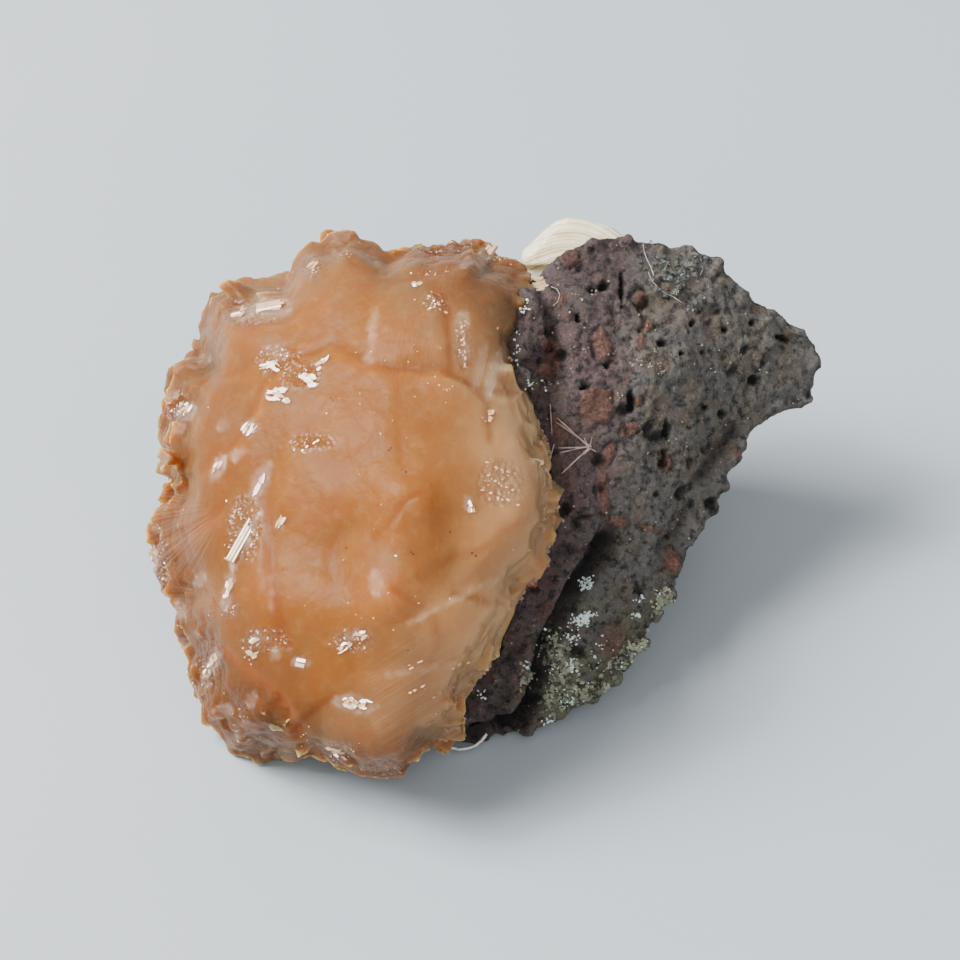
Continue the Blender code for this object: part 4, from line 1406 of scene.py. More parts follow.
    @staticmethod
    def _lumpy(points: Rows, size: float, tall: float, shift: float) -> Rows:
        """Heights in millimetres of rounded crystal ends that each lean their own way.

        Args:
            points: Rows of coordinates.
            size: Size of the ends in metres.
            tall: How tall they are.
            shift: Moves the pattern, to get another one.

        Returns:
            One height per point.
        """
        offset = Vector((shift, 0.0, 0.0))
        heights = np.empty(len(points))
        for number, place in enumerate(points / size):
            spot = Vector(place) + offset
            reach, cores = noise.voronoi(spot)
            lean = noise.cell_vector(cores[0] * 37.0) - Vector((0.5, 0.5, 0.5))
            dome = 1.0 - math.exp(-(reach[1] - reach[0]) / 0.22)
            heights[number] = tall * (dome - 0.7 + 0.9 * lean.dot(spot - cores[0]))
        return heights

    def _colour(self, mesh: Mesh) -> None:
        """Stores how warm, pale and lined each point is, with painted shade in creases, painted highlights on
        ridges and knob rims, and painted light and shade in patches of the display face.

        Args:
            mesh: The mesh.
        """
        points, normals = points_of(mesh), normals_of(mesh)
        shown = SIGHT.pixels_of(points)
        faced = facing(normals, -0.1, 0.5)
        warmth = (1.0 - ramp(self._radius(shown), 0.6, 1.15)) * faced + 0.25 * (1.0 - faced)
        keep_value(mesh, "warmth", warmth)
        # The creases' painted shade.
        keep_value(mesh, "crease", 0.7 * self._creased)
        wobble = 1.0 + 0.2 * noise_at(points, 1.0 * MM, 70.0)
        ring_share = 0.3 + 0.7 * ramp(noise_at(points, 0.9 * MM, 80.0), -0.2, 0.3)
        # Ridges get a painted highlight.
        pale = 0.5 * self._ridge_highlight * ring_share
        for knob in self.knobs:
            box = Oval(knob.x, knob.y, 0.5 * knob.length, 0.5 * knob.width, knob.angle)
            far = box.far(shown) * wobble
            # A knob's real pale body, and a painted highlight round its rim.
            rim_highlight = np.exp(-(((far - 0.95) / 0.2) ** 2)) * ring_share
            body = 0.4 * (1.0 - ramp(far, 0.75, 1.05))
            pale = np.maximum(pale, knob.pale * faced * np.maximum(body, 0.9 * rim_highlight))
        keep_value(mesh, "pale", pale)
        shade, gleam = np.zeros(len(points)), np.zeros(len(points))
        # Painted shade where an oval's strength is positive, painted light where it is negative, and more
        # painted shade on the crusts.
        for oval in self.painted_light_and_shade:
            shade += oval.strength * np.exp(-(oval.far(shown) ** 2)) * faced
        shade += 0.35 * self._crusty
        for oval in self.gleams:
            here = 1.0 - ramp(oval.far(shown) * wobble, 0.6, 1.2)
            gleam = np.maximum(gleam, oval.strength * here * faced)
        keep_value(mesh, "shade", shade)
        keep_value(mesh, "gleam", np.maximum(gleam, 0.1 * ramp(self._radius(shown), 0.85, 1.05) * faced))
        self._line(mesh, shown, faced)

    def _line(self, mesh: Mesh, shown: Rows, faced: Rows) -> None:
        """Stores where growth lines run, and how strong they are.

        Args:
            mesh: The mesh.
            shown: Rows of pixels.
            faced: How much each point faces the camera.
        """
        stria, lined = np.zeros(len(shown)), np.zeros(len(shown))
        for area in self.lines:
            far = np.hypot(shown[:, 0] - area.x, shown[:, 1] - area.y)
            inside = area.strength * (1.0 - ramp(far, 0.6 * area.radius, area.radius)) * faced
            if area.apex:
                turn = np.arctan2(shown[:, 1] - area.apex[1], shown[:, 0] - area.apex[0])
                phase = np.where(turn < 0.0, turn + math.tau, turn) * 8.0
            else:
                tilt = math.radians(area.angle)
                across = (shown[:, 0] - area.x) * math.sin(tilt) + (shown[:, 1] - area.y) * math.cos(tilt)
                phase = across * PIXEL / MM
            stria = np.where(inside > lined, phase, stria)
            lined = np.maximum(lined, inside)
        keep_value(mesh, "stria", stria)
        keep_value(mesh, "lined", lined)


@dataclass
class EdgeTeeth:
    """The fine teeth of the cluster's edge over the rock, and the amber crystals under it.

    A tooth stands every gap pixels along the edge. The search for the face's last spot goes from inside
    the edge to outside it, in pixels, and ends where the surface drops.
    """

    seed: int = 71
    gap: float = 3.4
    search: tuple[int, int] = (-14, 16)
    drop: float = 1.2 * MM
    amber: tuple[float, float] = (531.0, 578.0)
    edge: tuple[Pixel, ...] = (
        (549, 398), (551, 425), (548, 450), (553, 480), (556, 515), (551, 535), (536, 552), (524, 566),
        (512, 590), (503, 600), (504, 625), (499, 650), (486, 668), (468, 672), (464, 696), (455, 722),
        (440, 744),
    )

    def build(self, surface: Surface) -> None:
        """Makes the teeth and the amber crystals.

        Args:
            surface: The dressed cluster.
        """
        draw = Random(self.seed)
        bm = bmesh.new()
        for (x, y), (to_x, to_y) in zip(self.edge, self.edge[1:]):
            length = math.hypot(to_x - x, to_y - y)
            out_x, out_y = (to_y - y) / length, (x - to_x) / length
            for step in range(int(length / self.gap)):
                share = (step + draw.random()) / (length / self.gap)
                start = (x + share * (to_x - x), y + share * (to_y - y))
                spot = self._last(surface, start, (out_x, out_y))
                if spot is None:
                    continue
                turn = math.degrees(math.atan2(-out_y, out_x)) + draw.uniform(-25, 25)
                out = (along_face(turn) + 0.25 * FACE_NORMAL).normalized()
                size = [draw.uniform(*sizes) * MM for sizes in ((0.4, 1.2), (0.3, 0.6), (1.2, 1.7))]
                foot = Spot(spot.point - out * 1.0 * MM - FACE_NORMAL * 0.35 * MM, out)
                block(bm, frame_at(foot, along_face(turn + 90.0)), size, draw.uniform(0.3, 0.7))
        finish = OrangeCrystal(rim="A88C76", middle="A88C76", crease="8A6A50", depth=0.3 * MM)
        show("edge_teeth", bm, finish)
        seat = cad_surface("basalt_matrix").at_pixel(*self.amber)
        bm = bmesh.new()
        for number in range(4):
            foot = Spot(seat.point + 0.6 * MM * any_way(draw) - 0.6 * MM * FACE_NORMAL, FACE_NORMAL)
            size = [draw.uniform(*sizes) * MM for sizes in ((1.8, 2.6), (0.9, 1.3), (1.4, 1.9))]
            block(bm, frame_at(foot, along_face(40.0 + 12.0 * number)), size, 0.8)
        finish = OrangeCrystal(rim="8F4A16", middle="8F4A16", crease="7A3A12", depth=1.5 * MM, gloss=0.3)
        show("amber_crystals", bm, finish)

    def _last(self, surface: Surface, start: Pixel, out: Pixel) -> Optional[Spot]:
        """The last spot of the cluster's face on the way out over its edge.

        Args:
            surface: The dressed cluster.
            start: A pixel near the edge.
            out: The way out, in pixels.

        Returns:
            The spot, or None where the way meets no face.
        """
        last = None
        for step in range(*self.search):
            spot = surface.at_pixel(start[0] + step * out[0], start[1] + step * out[1])
            if spot is None or (last and (last.point - spot.point).dot(FACE_NORMAL) > self.drop):
                break
            last = spot
        return last


@dataclass(frozen=True)
class Glint:
    """A cleavage face that shows at a pixel: its middle, length, width, angle, and its bars or flakes."""

    x: float
    y: float
    length: float
    width: float
    angle: float
    bars: int = 0


@dataclass
class CleavageFaces:
    """Pearly cleavage faces on the cluster, small crystals that sparkle, and black specks.

    A row goes from one pixel to another with a number of dashes, and a cluster is a middle, a half width,
    a half height and a number of crystals.
    """

    seed: int = 12
    faces: tuple[Glint, ...] = (
        Glint(272, 308, 34, 16, 0, 5), Glint(240, 314, 16, 12, 30), Glint(312, 265, 12, 8, 45),
        Glint(309, 380, 24, 12, -25), Glint(321, 364, 20, 6, 48), Glint(278, 394, 24, 16, -4),
        Glint(249, 428, 12, 12, 30), Glint(489, 417, 8, 14, 0), Glint(272, 366, 20, 12, 0),
        Glint(243, 538, 52, 9, 63, 4), Glint(356, 704, 32, 12, -8), Glint(338, 753, 22, 8, -15),
        Glint(346, 646, 14, 7, 35), Glint(362, 635, 14, 8, 0), Glint(152, 562, 20, 6, 82),
        Glint(415, 283, 12, 8, -20), Glint(488, 252, 24, 9, 62, 3), Glint(218, 464, 14, 6, 60),
        Glint(261, 484, 24, 6, 65), Glint(228, 590, 30, 5, 78), Glint(301, 663, 11, 8, -15, 2),
        Glint(185, 408, 14, 14, 40), Glint(211, 664, 26, 6, 62), Glint(280, 524, 12, 6, 70),
        Glint(510, 358, 6, 6, 0), Glint(470, 506, 14, 6, 105), Glint(252, 655, 8, 6, 0),
        Glint(256, 638, 12, 8, 20),
    )
    rows: tuple[tuple[float, float, float, float, int], ...] = (
        (484, 462, 512, 474, 4), (487, 476, 514, 490, 5), (480, 490, 520, 506, 6), (462, 322, 466, 368, 7),
        (425, 295, 446, 312, 4), (405, 670, 425, 661, 2), (448, 670, 472, 661, 3), (406, 693, 426, 685, 3),
        (541, 446, 553, 430, 3), (300, 452, 320, 440, 4), (336, 648, 350, 642, 3),
    )
    clusters: tuple[tuple[float, float, float, float, int], ...] = (
        (178, 408, 10, 12, 26), (311, 265, 5, 8, 6), (275, 358, 14, 8, 24), (300, 372, 14, 8, 10),
        (252, 428, 6, 6, 6), (300, 446, 14, 6, 14), (430, 274, 16, 4, 10), (436, 302, 8, 7, 8),
        (463, 340, 4, 22, 14), (489, 415, 4, 6, 6), (546, 436, 6, 8, 10), (500, 480, 18, 16, 24),
        (236, 514, 8, 7, 22), (252, 542, 5, 12, 16), (228, 552, 6, 10, 16), (230, 608, 5, 6, 6),
        (350, 642, 16, 8, 14), (240, 718, 12, 10, 8), (250, 742, 18, 8, 12), (338, 752, 12, 8, 22),
        (306, 737, 7, 6, 8), (385, 770, 14, 6, 8), (247, 660, 6, 6, 6), (195, 690, 10, 20, 14),
        (545, 500, 6, 20, 14), (440, 240, 20, 6, 14), (500, 260, 10, 8, 10), (345, 250, 10, 10, 8),
        (160, 560, 6, 20, 14), (175, 620, 8, 16, 12), (450, 385, 16, 6, 8), (440, 700, 22, 18, 16),
        (520, 545, 12, 6, 10), (390, 400, 50, 50, 16), (380, 600, 50, 60, 16),
    )
    specks: tuple[Pixel, ...] = (
        (391, 448), (389, 450), (402, 470), (406, 472), (405, 469), (450, 532), (411, 552), (413, 554),
        (333, 400), (337, 402), (331, 398), (472, 553), (476, 556), (352, 522), (408, 650), (346, 548),
    )
    scattered: int = 110

    def build(self, surface: Surface) -> None:
        """Makes the faces, the sparkling crystals and the black specks.

        Args:
            surface: The dressed cluster.
        """
        draw = Random(self.seed)
        bm = bmesh.new()
        for glint in self.faces:
            if glint.bars:
                self._bars(bm, surface, glint, draw)
            else:
                self._flakes(bm, surface, glint, draw)
        for x, y, to_x, to_y, count in self.rows:
            self._row(bm, surface, (x, y), (to_x, to_y), count, draw)
        show("cleavage_faces", bm, PearlyFace())
        bm = bmesh.new()
        spots = [surface.anywhere(draw) for _ in range(self.scattered)]
        for x, y, wide, tall, count in self.clusters:
            for _ in range(count):
                spots.append(surface.at_pixel(draw.gauss(x, 0.6 * wide), draw.gauss(y, 0.6 * tall)))
        for spot in filter(None, spots):
            size = draw.uniform(0.16, 0.42) * MM
            tilt = (spot.normal + 1.5 * GLANCE + 0.7 * any_way(draw)).normalized()
            place = frame_at(spot, any_way(draw), tilt)
            flake(bm, place, (size, size * draw.uniform(0.4, 0.9), 0.4 * size), draw)
        show("cluster_sparkles", bm, PearlyFace())
        bm = bmesh.new()
        for pixel in self.specks:
            spot = surface.at_pixel(*pixel)
            if spot:
                size = draw.uniform(0.2, 0.42) * MM
                flake(bm, frame_at(spot, any_way(draw)), (size, 0.8 * size, 0.15 * MM), draw)
        show("black_specks", bm, VesicularBasalt(grey="241C18", brown="241C18"))

    @staticmethod
    def _bars(bm: Shape, surface: Surface, glint: Glint, draw: Random) -> None:
        """Adds one face as close bars with ragged ends.

        Args:
            bm: What gets it.
            surface: The dressed cluster.
            glint: The face.
            draw: The random draws.
        """
        spot = surface.at_pixel(glint.x, glint.y)
        if spot is None:
            return
        base = frame_at(spot, along_face(glint.angle), (spot.normal + 3.0 * GLANCE).normalized())
        width = glint.width * PIXEL / glint.bars
        for bar in range(glint.bars):
            length = glint.length * PIXEL * draw.uniform(0.75, 1.0)
            aside = (bar - (glint.bars - 1) / 2) * width
            place = base @ Matrix.Translation((0.5 * (length - glint.length * PIXEL), aside, -0.6 * MM))
            lean = Matrix.Rotation(math.radians(draw.uniform(-5, 5)), 4, "X")
            block(bm, place @ lean, (length, width * 0.92, draw.uniform(0.72, 0.85) * MM), 0.96)

    @staticmethod
    def _flakes(bm: Shape, surface: Surface, glint: Glint, draw: Random) -> None:
        """Adds one face as overlapping flakes that lie on the surface.

        Args:
            bm: What gets it.
            surface: The dressed cluster.
            glint: The face.
            draw: The random draws.
        """
        tilt = math.radians(glint.angle)
        for _ in range(max(4, int(glint.length * glint.width / 20))):
            along, across = draw.uniform(-0.4, 0.4) * glint.length, draw.uniform(-0.4, 0.4) * glint.width
            x = glint.x + along * math.cos(tilt) + across * math.sin(tilt)
            y = glint.y - along * math.sin(tilt) + across * math.cos(tilt)
            spot = surface.at_pixel(x, y)
            if spot is None:
                continue
            normal = (spot.normal + 3.0 * GLANCE + 0.6 * any_way(draw)).normalized()
            size = (draw.uniform(0.8, 1.9) * MM, draw.uniform(0.35, 0.8) * MM, 0.35 * MM)
            turn = glint.angle + draw.uniform(-30, 30)
            flake(bm, frame_at(spot, along_face(turn), normal), size, draw)

    @staticmethod
    def _row(
        bm: Shape, surface: Surface, start: Pixel, end: Pixel,
        count: int, draw: Random,
    ) -> None:
        """Adds a row of dashes.

        Args:
            bm: What gets it.
            surface: The dressed cluster.
            start: Where it starts.
            end: Where it ends.
            count: How many dashes.
            draw: The random draws.
        """
        turn = math.degrees(math.atan2(start[1] - end[1], end[0] - start[0]))
        pitch = math.hypot(end[0] - start[0], end[1] - start[1]) / count * PIXEL
        for number in range(count):
            share = (number + draw.uniform(0.2, 0.8)) / count
            x = start[0] + share * (end[0] - start[0]) + draw.uniform(-1, 1)
            y = start[1] + share * (end[1] - start[1]) + draw.uniform(-1.5, 1.5)
            spot = surface.at_pixel(x, y)
            if spot:
                long = pitch * draw.uniform(0.5, 0.9)
                tilt = (spot.normal + 2.0 * GLANCE).normalized()
                place = frame_at(spot, along_face(turn + draw.uniform(-12, 12)), tilt)
                flake(bm, place, (long, 0.35 * MM, 0.35 * MM), draw)


@dataclass
class BasaltRock:
    """The basalt: the CAD rock with a broken, bubbly surface, filled bubbles and a deep cleft.

    A boss is a broken corner: a pixel of the edge, and how far it stands out in millimetres. A lap is a
    crag over the cluster's edge: a pixel, and its size in millimetres. The layer edge is where the
    reddish layer ends, as rows of pixels and the columns for them.
    """

    grain: float = 0.42 * MM
    bubbles: int = 190
    corners: int = 260
    heart: tuple[float, float] = (650.0, 470.0)
    bosses: tuple[tuple[float, float, float], ...] = (
        (752, 440, 0.5), (737, 458, 0.9), (728, 486, 1.0), (712, 508, 0.9), (694, 530, 0.7),
        (672, 566, 0.9), (670, 604, 0.8), (656, 628, 0.9), (640, 655, 0.8), (614, 686, 0.9),
        (590, 706, 0.7), (548, 734, 0.7), (520, 742, 0.6), (800, 334, 0.7), (816, 362, 0.6),
        (808, 398, 0.9), (780, 404, 0.7), (770, 318, 0.6), (745, 295, 0.6), (717, 262, 0.8),
        (690, 250, 0.6), (660, 245, 0.5), (628, 240, 0.8), (592, 244, 0.7), (560, 262, 0.5),
    )
    laps: tuple[tuple[float, float, float], ...] = (
        (527, 300, 1.8), (522, 316, 2.0), (520, 332, 2.0), (518, 348, 2.2), (517, 363, 2.2),
        (518, 378, 2.0), (528, 388, 1.7), (530, 340, 2.6), (530, 366, 2.6), (531, 318, 2.4),
    )
    seed: int = 21
    amygdales: tuple[Oval, ...] = ovals(
        (603, 345, 10, 17, 8, 0.9), (594, 405, 16, 21, 0, 0.9), (648, 326, 5, 8, -30),
        (641, 340, 4, 12, -10), (630, 430, 11, 7, 35), (608, 455, 6, 14, -25), (603, 490, 6, 24, 5),
        (672, 560, 8, 14, 15), (638, 401, 5, 5), (570, 258, 9, 8, -10), (551, 352, 8, 18, 15),
        (529, 690, 7, 16, -15), (640, 298, 7, 8), (665, 462, 6, 10, 10), (560, 300, 6, 8),
        (618, 522, 9, 7, 20), (650, 528, 10, 3, -15), (545, 370, 8, 9), (598, 555, 8, 6, 30),
        (560, 475, 14, 22, 20, 0.4), (548, 610, 10, 9, 25, 0.6), (612, 640, 16, 22, -30, 0.6),
        (560, 430, 8, 18, 20, 0.6),
    )
    holes: tuple[Oval, ...] = ovals(
        (578, 319, 3, 4), (681, 353, 4, 3), (703, 352, 2, 3), (755, 381, 6, 5, 30), (668, 432, 3, 12, 4),
        (664, 460, 3, 10, -15), (713, 505, 7, 9), (608, 366, 4, 4, 40), (622, 290, 3, 16, 0),
        (631, 400, 4, 12, 0), (704, 408, 3, 2), (722, 414, 5, 4, 30), (752, 323, 3, 5, -25),
        (782, 338, 8, 3, -15), (725, 330, 4, 3, -30), (693, 323, 3, 3), (662, 343, 5, 4),
        (586, 386, 9, 3, 20), (604, 286, 5, 4), (591, 290, 5, 3), (640, 308, 5, 5, 0, 0.5),
        (733, 370, 8, 3, 35, 0.6), (505, 718, 12, 9, 15), (474, 728, 7, 5), (640, 590, 3, 10, 20, 0.6),
        (612, 715, 6, 4), (528, 540, 6, 5, 0, 0.7), (586, 516, 8, 3, 10, 0.7), (500, 690, 12, 8, 20, 0.4),
    )
    strokes: tuple[Stroke, ...] = (
        Stroke(((610, 538), (600, 556), (584, 578), (570, 598), (556, 622), (544, 650), (538, 682),
            (526, 710), (508, 730)), -2.6, 1.15, -0.8, 4.0),
        Stroke(((535, 560), (560, 552), (590, 548), (606, 538)), -0.4, 0.7),
        Stroke(((688, 505), (676, 530), (660, 548)), -0.5, 0.7, 0.4),
        Stroke(((668, 590), (640, 640), (600, 680), (570, 700)), -0.3, 0.8, -0.4),
        Stroke(((540, 700), (520, 715), (490, 728), (465, 735)), -1.0, 1.0, 0.0),
        Stroke(((515, 640), (498, 700), (480, 720)), -0.4, 0.8, 0.5),
        Stroke(((700, 480), (720, 450), (735, 430)), -0.6, 1.0),
    )
    # A patch of the rock's top that gets a painted shade.
    shaded_top: Oval = Oval(595, 275, 80, 55)
    layer_edge: tuple[tuple[float, ...], ...] = (
        (240, 300, 400, 500, 620, 740), (645, 622, 625, 610, 565, 500),
    )
    mossy: tuple[Oval, ...] = ovals(
        (565, 665, 18, 40, 20), (640, 650, 26, 16, 35), (662, 602, 11, 13), (590, 610, 26, 14, 20, 0.5),
        (600, 690, 30, 12, 25, 0.8), (595, 660, 20, 16, 25, 0.7), (550, 700, 14, 22, 30),
        (500, 690, 8, 14, 0, 0.5), (530, 380, 10, 12, 0, 0.5), (636, 628, 26, 20, 30, 0.7),
    )

    def build(self) -> Surface:
        """Makes the rock.

        Returns:
            Its surface, for what sits on it.
        """
        bm = merged_copy("basalt_matrix")
        self._roughen(bm)
        mesh = remeshed(bm, self.grain, "basalt_rock")
        relaxed(mesh, 3, 0.5)
        points, normals = points_of(mesh), normals_of(mesh)
        shown = SIGHT.pixels_of(points)
        faced = facing(normals, -0.1, 0.25)
        height = 0.34 * noise_at(points, 3.4 * MM, 1.0) + 0.22 * noise_at(points, 1.5 * MM, 4.0)
        wrinkles = 0.5 - np.abs(noise_at(points, 2.4 * MM, 12.0))
        height += 0.2 * noise_at(points, 0.8 * MM, 8.0) + 0.26 * wrinkles
        hollow_shade = np.zeros(len(points))
        self._open(points, height, hollow_shade)
        wobble = 1.0 + 0.4 * noise_at(points, 1.5 * MM, 20.0) + 0.2 * noise_at(points, 0.7 * MM, 25.0)
        filled = self._ovals(shown, faced, wobble, self.amygdales, height, 0.16)
        self._small_fillings(points, filled)
        # Holes sink and get painted shade, and so does a patch of the rock's top.
        dark = self._ovals(shown, faced, wobble, self.holes, height, -0.9)
        np.maximum(dark, 0.36 * faced * np.exp(-(self.shaded_top.far(shown) ** 2)), out=dark)
        bent = shown + 3.0 * sway(points, 2.6 * MM)
        for stroke in self.strokes:
            rise, near = stroke.press(bent)
            height += rise * faced
            # Each crease and the cleft gets painted shade.
            np.maximum(dark, near * faced * min(1.0, -stroke.height), out=dark)
        move_points(mesh, points + normals * height[:, None] * MM)
        keep_value(mesh, "hollow_shade", np.clip(np.maximum(0.85 * hollow_shade, dark), 0.0, 1.0))
        keep_value(mesh, "filled", filled)
        keep_value(mesh, "redness", self._redness(points, shown))
        keep_value(mesh, "green", 0.8 * self._ovals(shown, faced, wobble, self.mossy, height, 0.0))
        show("basalt_rock", mesh, VesicularBasalt(), True, ["basalt_matrix"])
        return Surface(mesh)

    def _roughen(self, bm: Shape) -> None:
        """Adds broken corners along the rock's edge, and many low ones all over it.

        Args:
            bm: The CAD rock's bmesh.
        """
        draw = Random(self.seed + 1)
        cad = cad_surface("basalt_matrix")
        spots = []
        for x, y, out in self.bosses:
            away = Vector((x - self.heart[0], y - self.heart[1])).normalized()
            for step in range(14):
                spot = cad.at_pixel(x - step * away.x, y - step * away.y)
                if spot:
                    aside = (FACE_TURN @ Vector((away.x, -away.y, 0.0)) + 0.3 * FACE_NORMAL).normalized()
                    spots.append((Spot(spot.point, aside), 1.4, out + 0.4))
                    break
        self._lap(bm, cad, draw)
        for _ in range(self.corners):
            spots.append((cad.anywhere(draw), draw.uniform(0.6, 1.5), draw.uniform(0.1, 0.4)))
        for spot, size, out in spots:
            made = bmesh.ops.create_icosphere(bm, subdivisions=1, radius=size * MM)["verts"]
            for vert in made:
                vert.co *= draw.uniform(0.75, 1.1)
            centre = spot.point - spot.normal * (size - out) * MM
            bmesh.ops.transform(bm, matrix=frame_at(Spot(centre, spot.normal), any_way(draw)), verts=made)

    def _lap(self, bm: Shape, cad: Surface, draw: Random) -> None:
        """Adds the crags that reach over the cluster's edge.

        Args:
            bm: What gets them.
            cad: The CAD rock's surface.
            draw: The random draws.
        """
        surfaces = (cad, cad_surface("orange_crystals"))
        for x, y, size in self.laps:
            top = foremost(surfaces, x, y)
            made = bmesh.ops.create_icosphere(bm, subdivisions=2, radius=size * MM)["verts"]
            for vert in made:
                vert.co *= draw.uniform(0.85, 1.08)
            place = frame_at(Spot(top.point + 0.55 * size * MM * FACE_NORMAL, FACE_NORMAL), any_way(draw))
            bmesh.ops.transform(bm, matrix=place @ Matrix.Diagonal((1.0, 1.0, 0.75, 1.0)), verts=made)

    def _open(self, points: Rows, height: Rows, hollow_shade: Rows) -> None:
        """Opens gas bubbles all over the surface, and paints shade inside them.

        Args:
            points: Rows of coordinates.
            height: The points' heights, which it changes.
            hollow_shade: How deep inside, which it changes.
        """
        draw = Random(self.seed)
        tree = kdtree.KDTree(len(points))
        for number, point in enumerate(points):
            tree.insert(point, number)
        tree.balance()
        for _ in range(self.bubbles):
            middle = draw.randrange(len(points))
            radius = draw.choice((0.4, 0.45, 0.5, 0.6, 0.7, 1.0)) * draw.uniform(0.85, 1.1)
            depth = radius * draw.uniform(0.7, 1.1)
            stretch = any_way(draw)
            near = tree.find_range(points[middle], 1.5 * radius * MM)
            for place, number, _ in near:
                gap = place - Vector(points[middle])
                far = (gap - 0.4 * gap.dot(stretch) * stretch).length / (radius * MM)
                if far < 1.0:
                    height[number] -= depth * math.sqrt(1.0 - far * far)
                    hollow_shade[number] = max(hollow_shade[number], 1.0 - far ** 3)

    @staticmethod
    def _ovals(
        shown: Rows, faced: Rows, wobble: Rows, ovals: tuple[Oval, ...],
        height: Rows, rise: float,
    ) -> Rows:
        """Raises or sinks ovals on the display face.

        Args:
            shown: Rows of the points' pixels.
            faced: How much each point faces the camera.
            wobble: Factors that bend the ovals' outlines.
            ovals: The ovals.
            height: The points' heights, which it changes.
            rise: How far the ovals rise, in millimetres.

        Returns:
            How far inside an oval each point is, from 0 to 1.
        """
        inside = np.zeros(len(shown))
        for oval in ovals:
            far = oval.far(shown) * wobble
            here = (1.0 - ramp(far, 0.75, 1.05)) * faced * oval.strength
            inside = np.maximum(inside, here)
            height += rise * here
            if rise > 0.0:
                height -= 0.4 * oval.strength * faced * np.exp(-(((far - 1.12) / 0.16) ** 2))
        return inside

    @staticmethod
    def _small_fillings(points: Rows, filled: Rows) -> None:
        """Fills small bubbles here and there with brick red clay.

        Args:
            points: Rows of coordinates.
            filled: How far inside a filling each point is, which it changes.
        """
        speckle = noise_at(points, 1.4 * MM, 31.0)
        zone = ramp(noise_at(points, 14.0 * MM, 40.0), -0.35, 0.35)
        np.maximum(filled, 0.6 * ramp(speckle, 0.42, 0.55) * zone, out=filled)

    def _redness(self, points: Rows, shown: Rows) -> Rows:
        """How reddish brown the rock is: most in the layer beside the orange crystals.

        Args:
            points: Rows of coordinates.
            shown: Rows of pixels.

        Returns:
            One number per point, from 0 to 1.
        """
        edge = np.interp(shown[:, 1], *self.layer_edge)
        near = 1.0 - ramp(shown[:, 0] - edge, -25.0, 30.0)
        patchy = 0.65 + 0.35 * noise_at(points, 4.0 * MM, 15.0)
        return np.clip(0.95 * near * patchy, 0.0, 1.0)


@dataclass
class RockSparkles:
    """Small white and yellowish grains all over the rock, and more of them at some pixels."""

    seed: int = 33
    grains: int = 520
    at_each: int = 5
    places: tuple[Pixel, ...] = (
        (657, 366), (662, 372), (650, 364), (548, 385), (593, 292), (640, 362), (575, 292), (612, 352),
        (655, 350), (585, 350), (620, 395),
    )

    def build(self, surface: Surface) -> None:
        """Makes the grains.

        Args:
            surface: The dressed rock.
        """
        draw = Random(self.seed)
        bm = bmesh.new()
        spots = [surface.anywhere(draw) for _ in range(self.grains)]
        for x, y in self.places:
            for _ in range(self.at_each):
                spot = surface.at_pixel(x + draw.uniform(-4, 4), y + draw.uniform(-3, 3))
                if spot:
                    spots.append(spot)
        for spot in spots:
            size = draw.uniform(0.12, 0.32) * MM
            place = frame_at(spot, any_way(draw), (spot.normal + 0.6 * any_way(draw)).normalized())
            sunk = place @ Matrix.Translation((0.0, 0.0, -0.3 * size))
            block(bm, sunk, (size, 0.8 * size, 0.8 * size), 0.7)
        show("rock_grains", bm, SilkyWhite("B5AC98", "857C6C"))


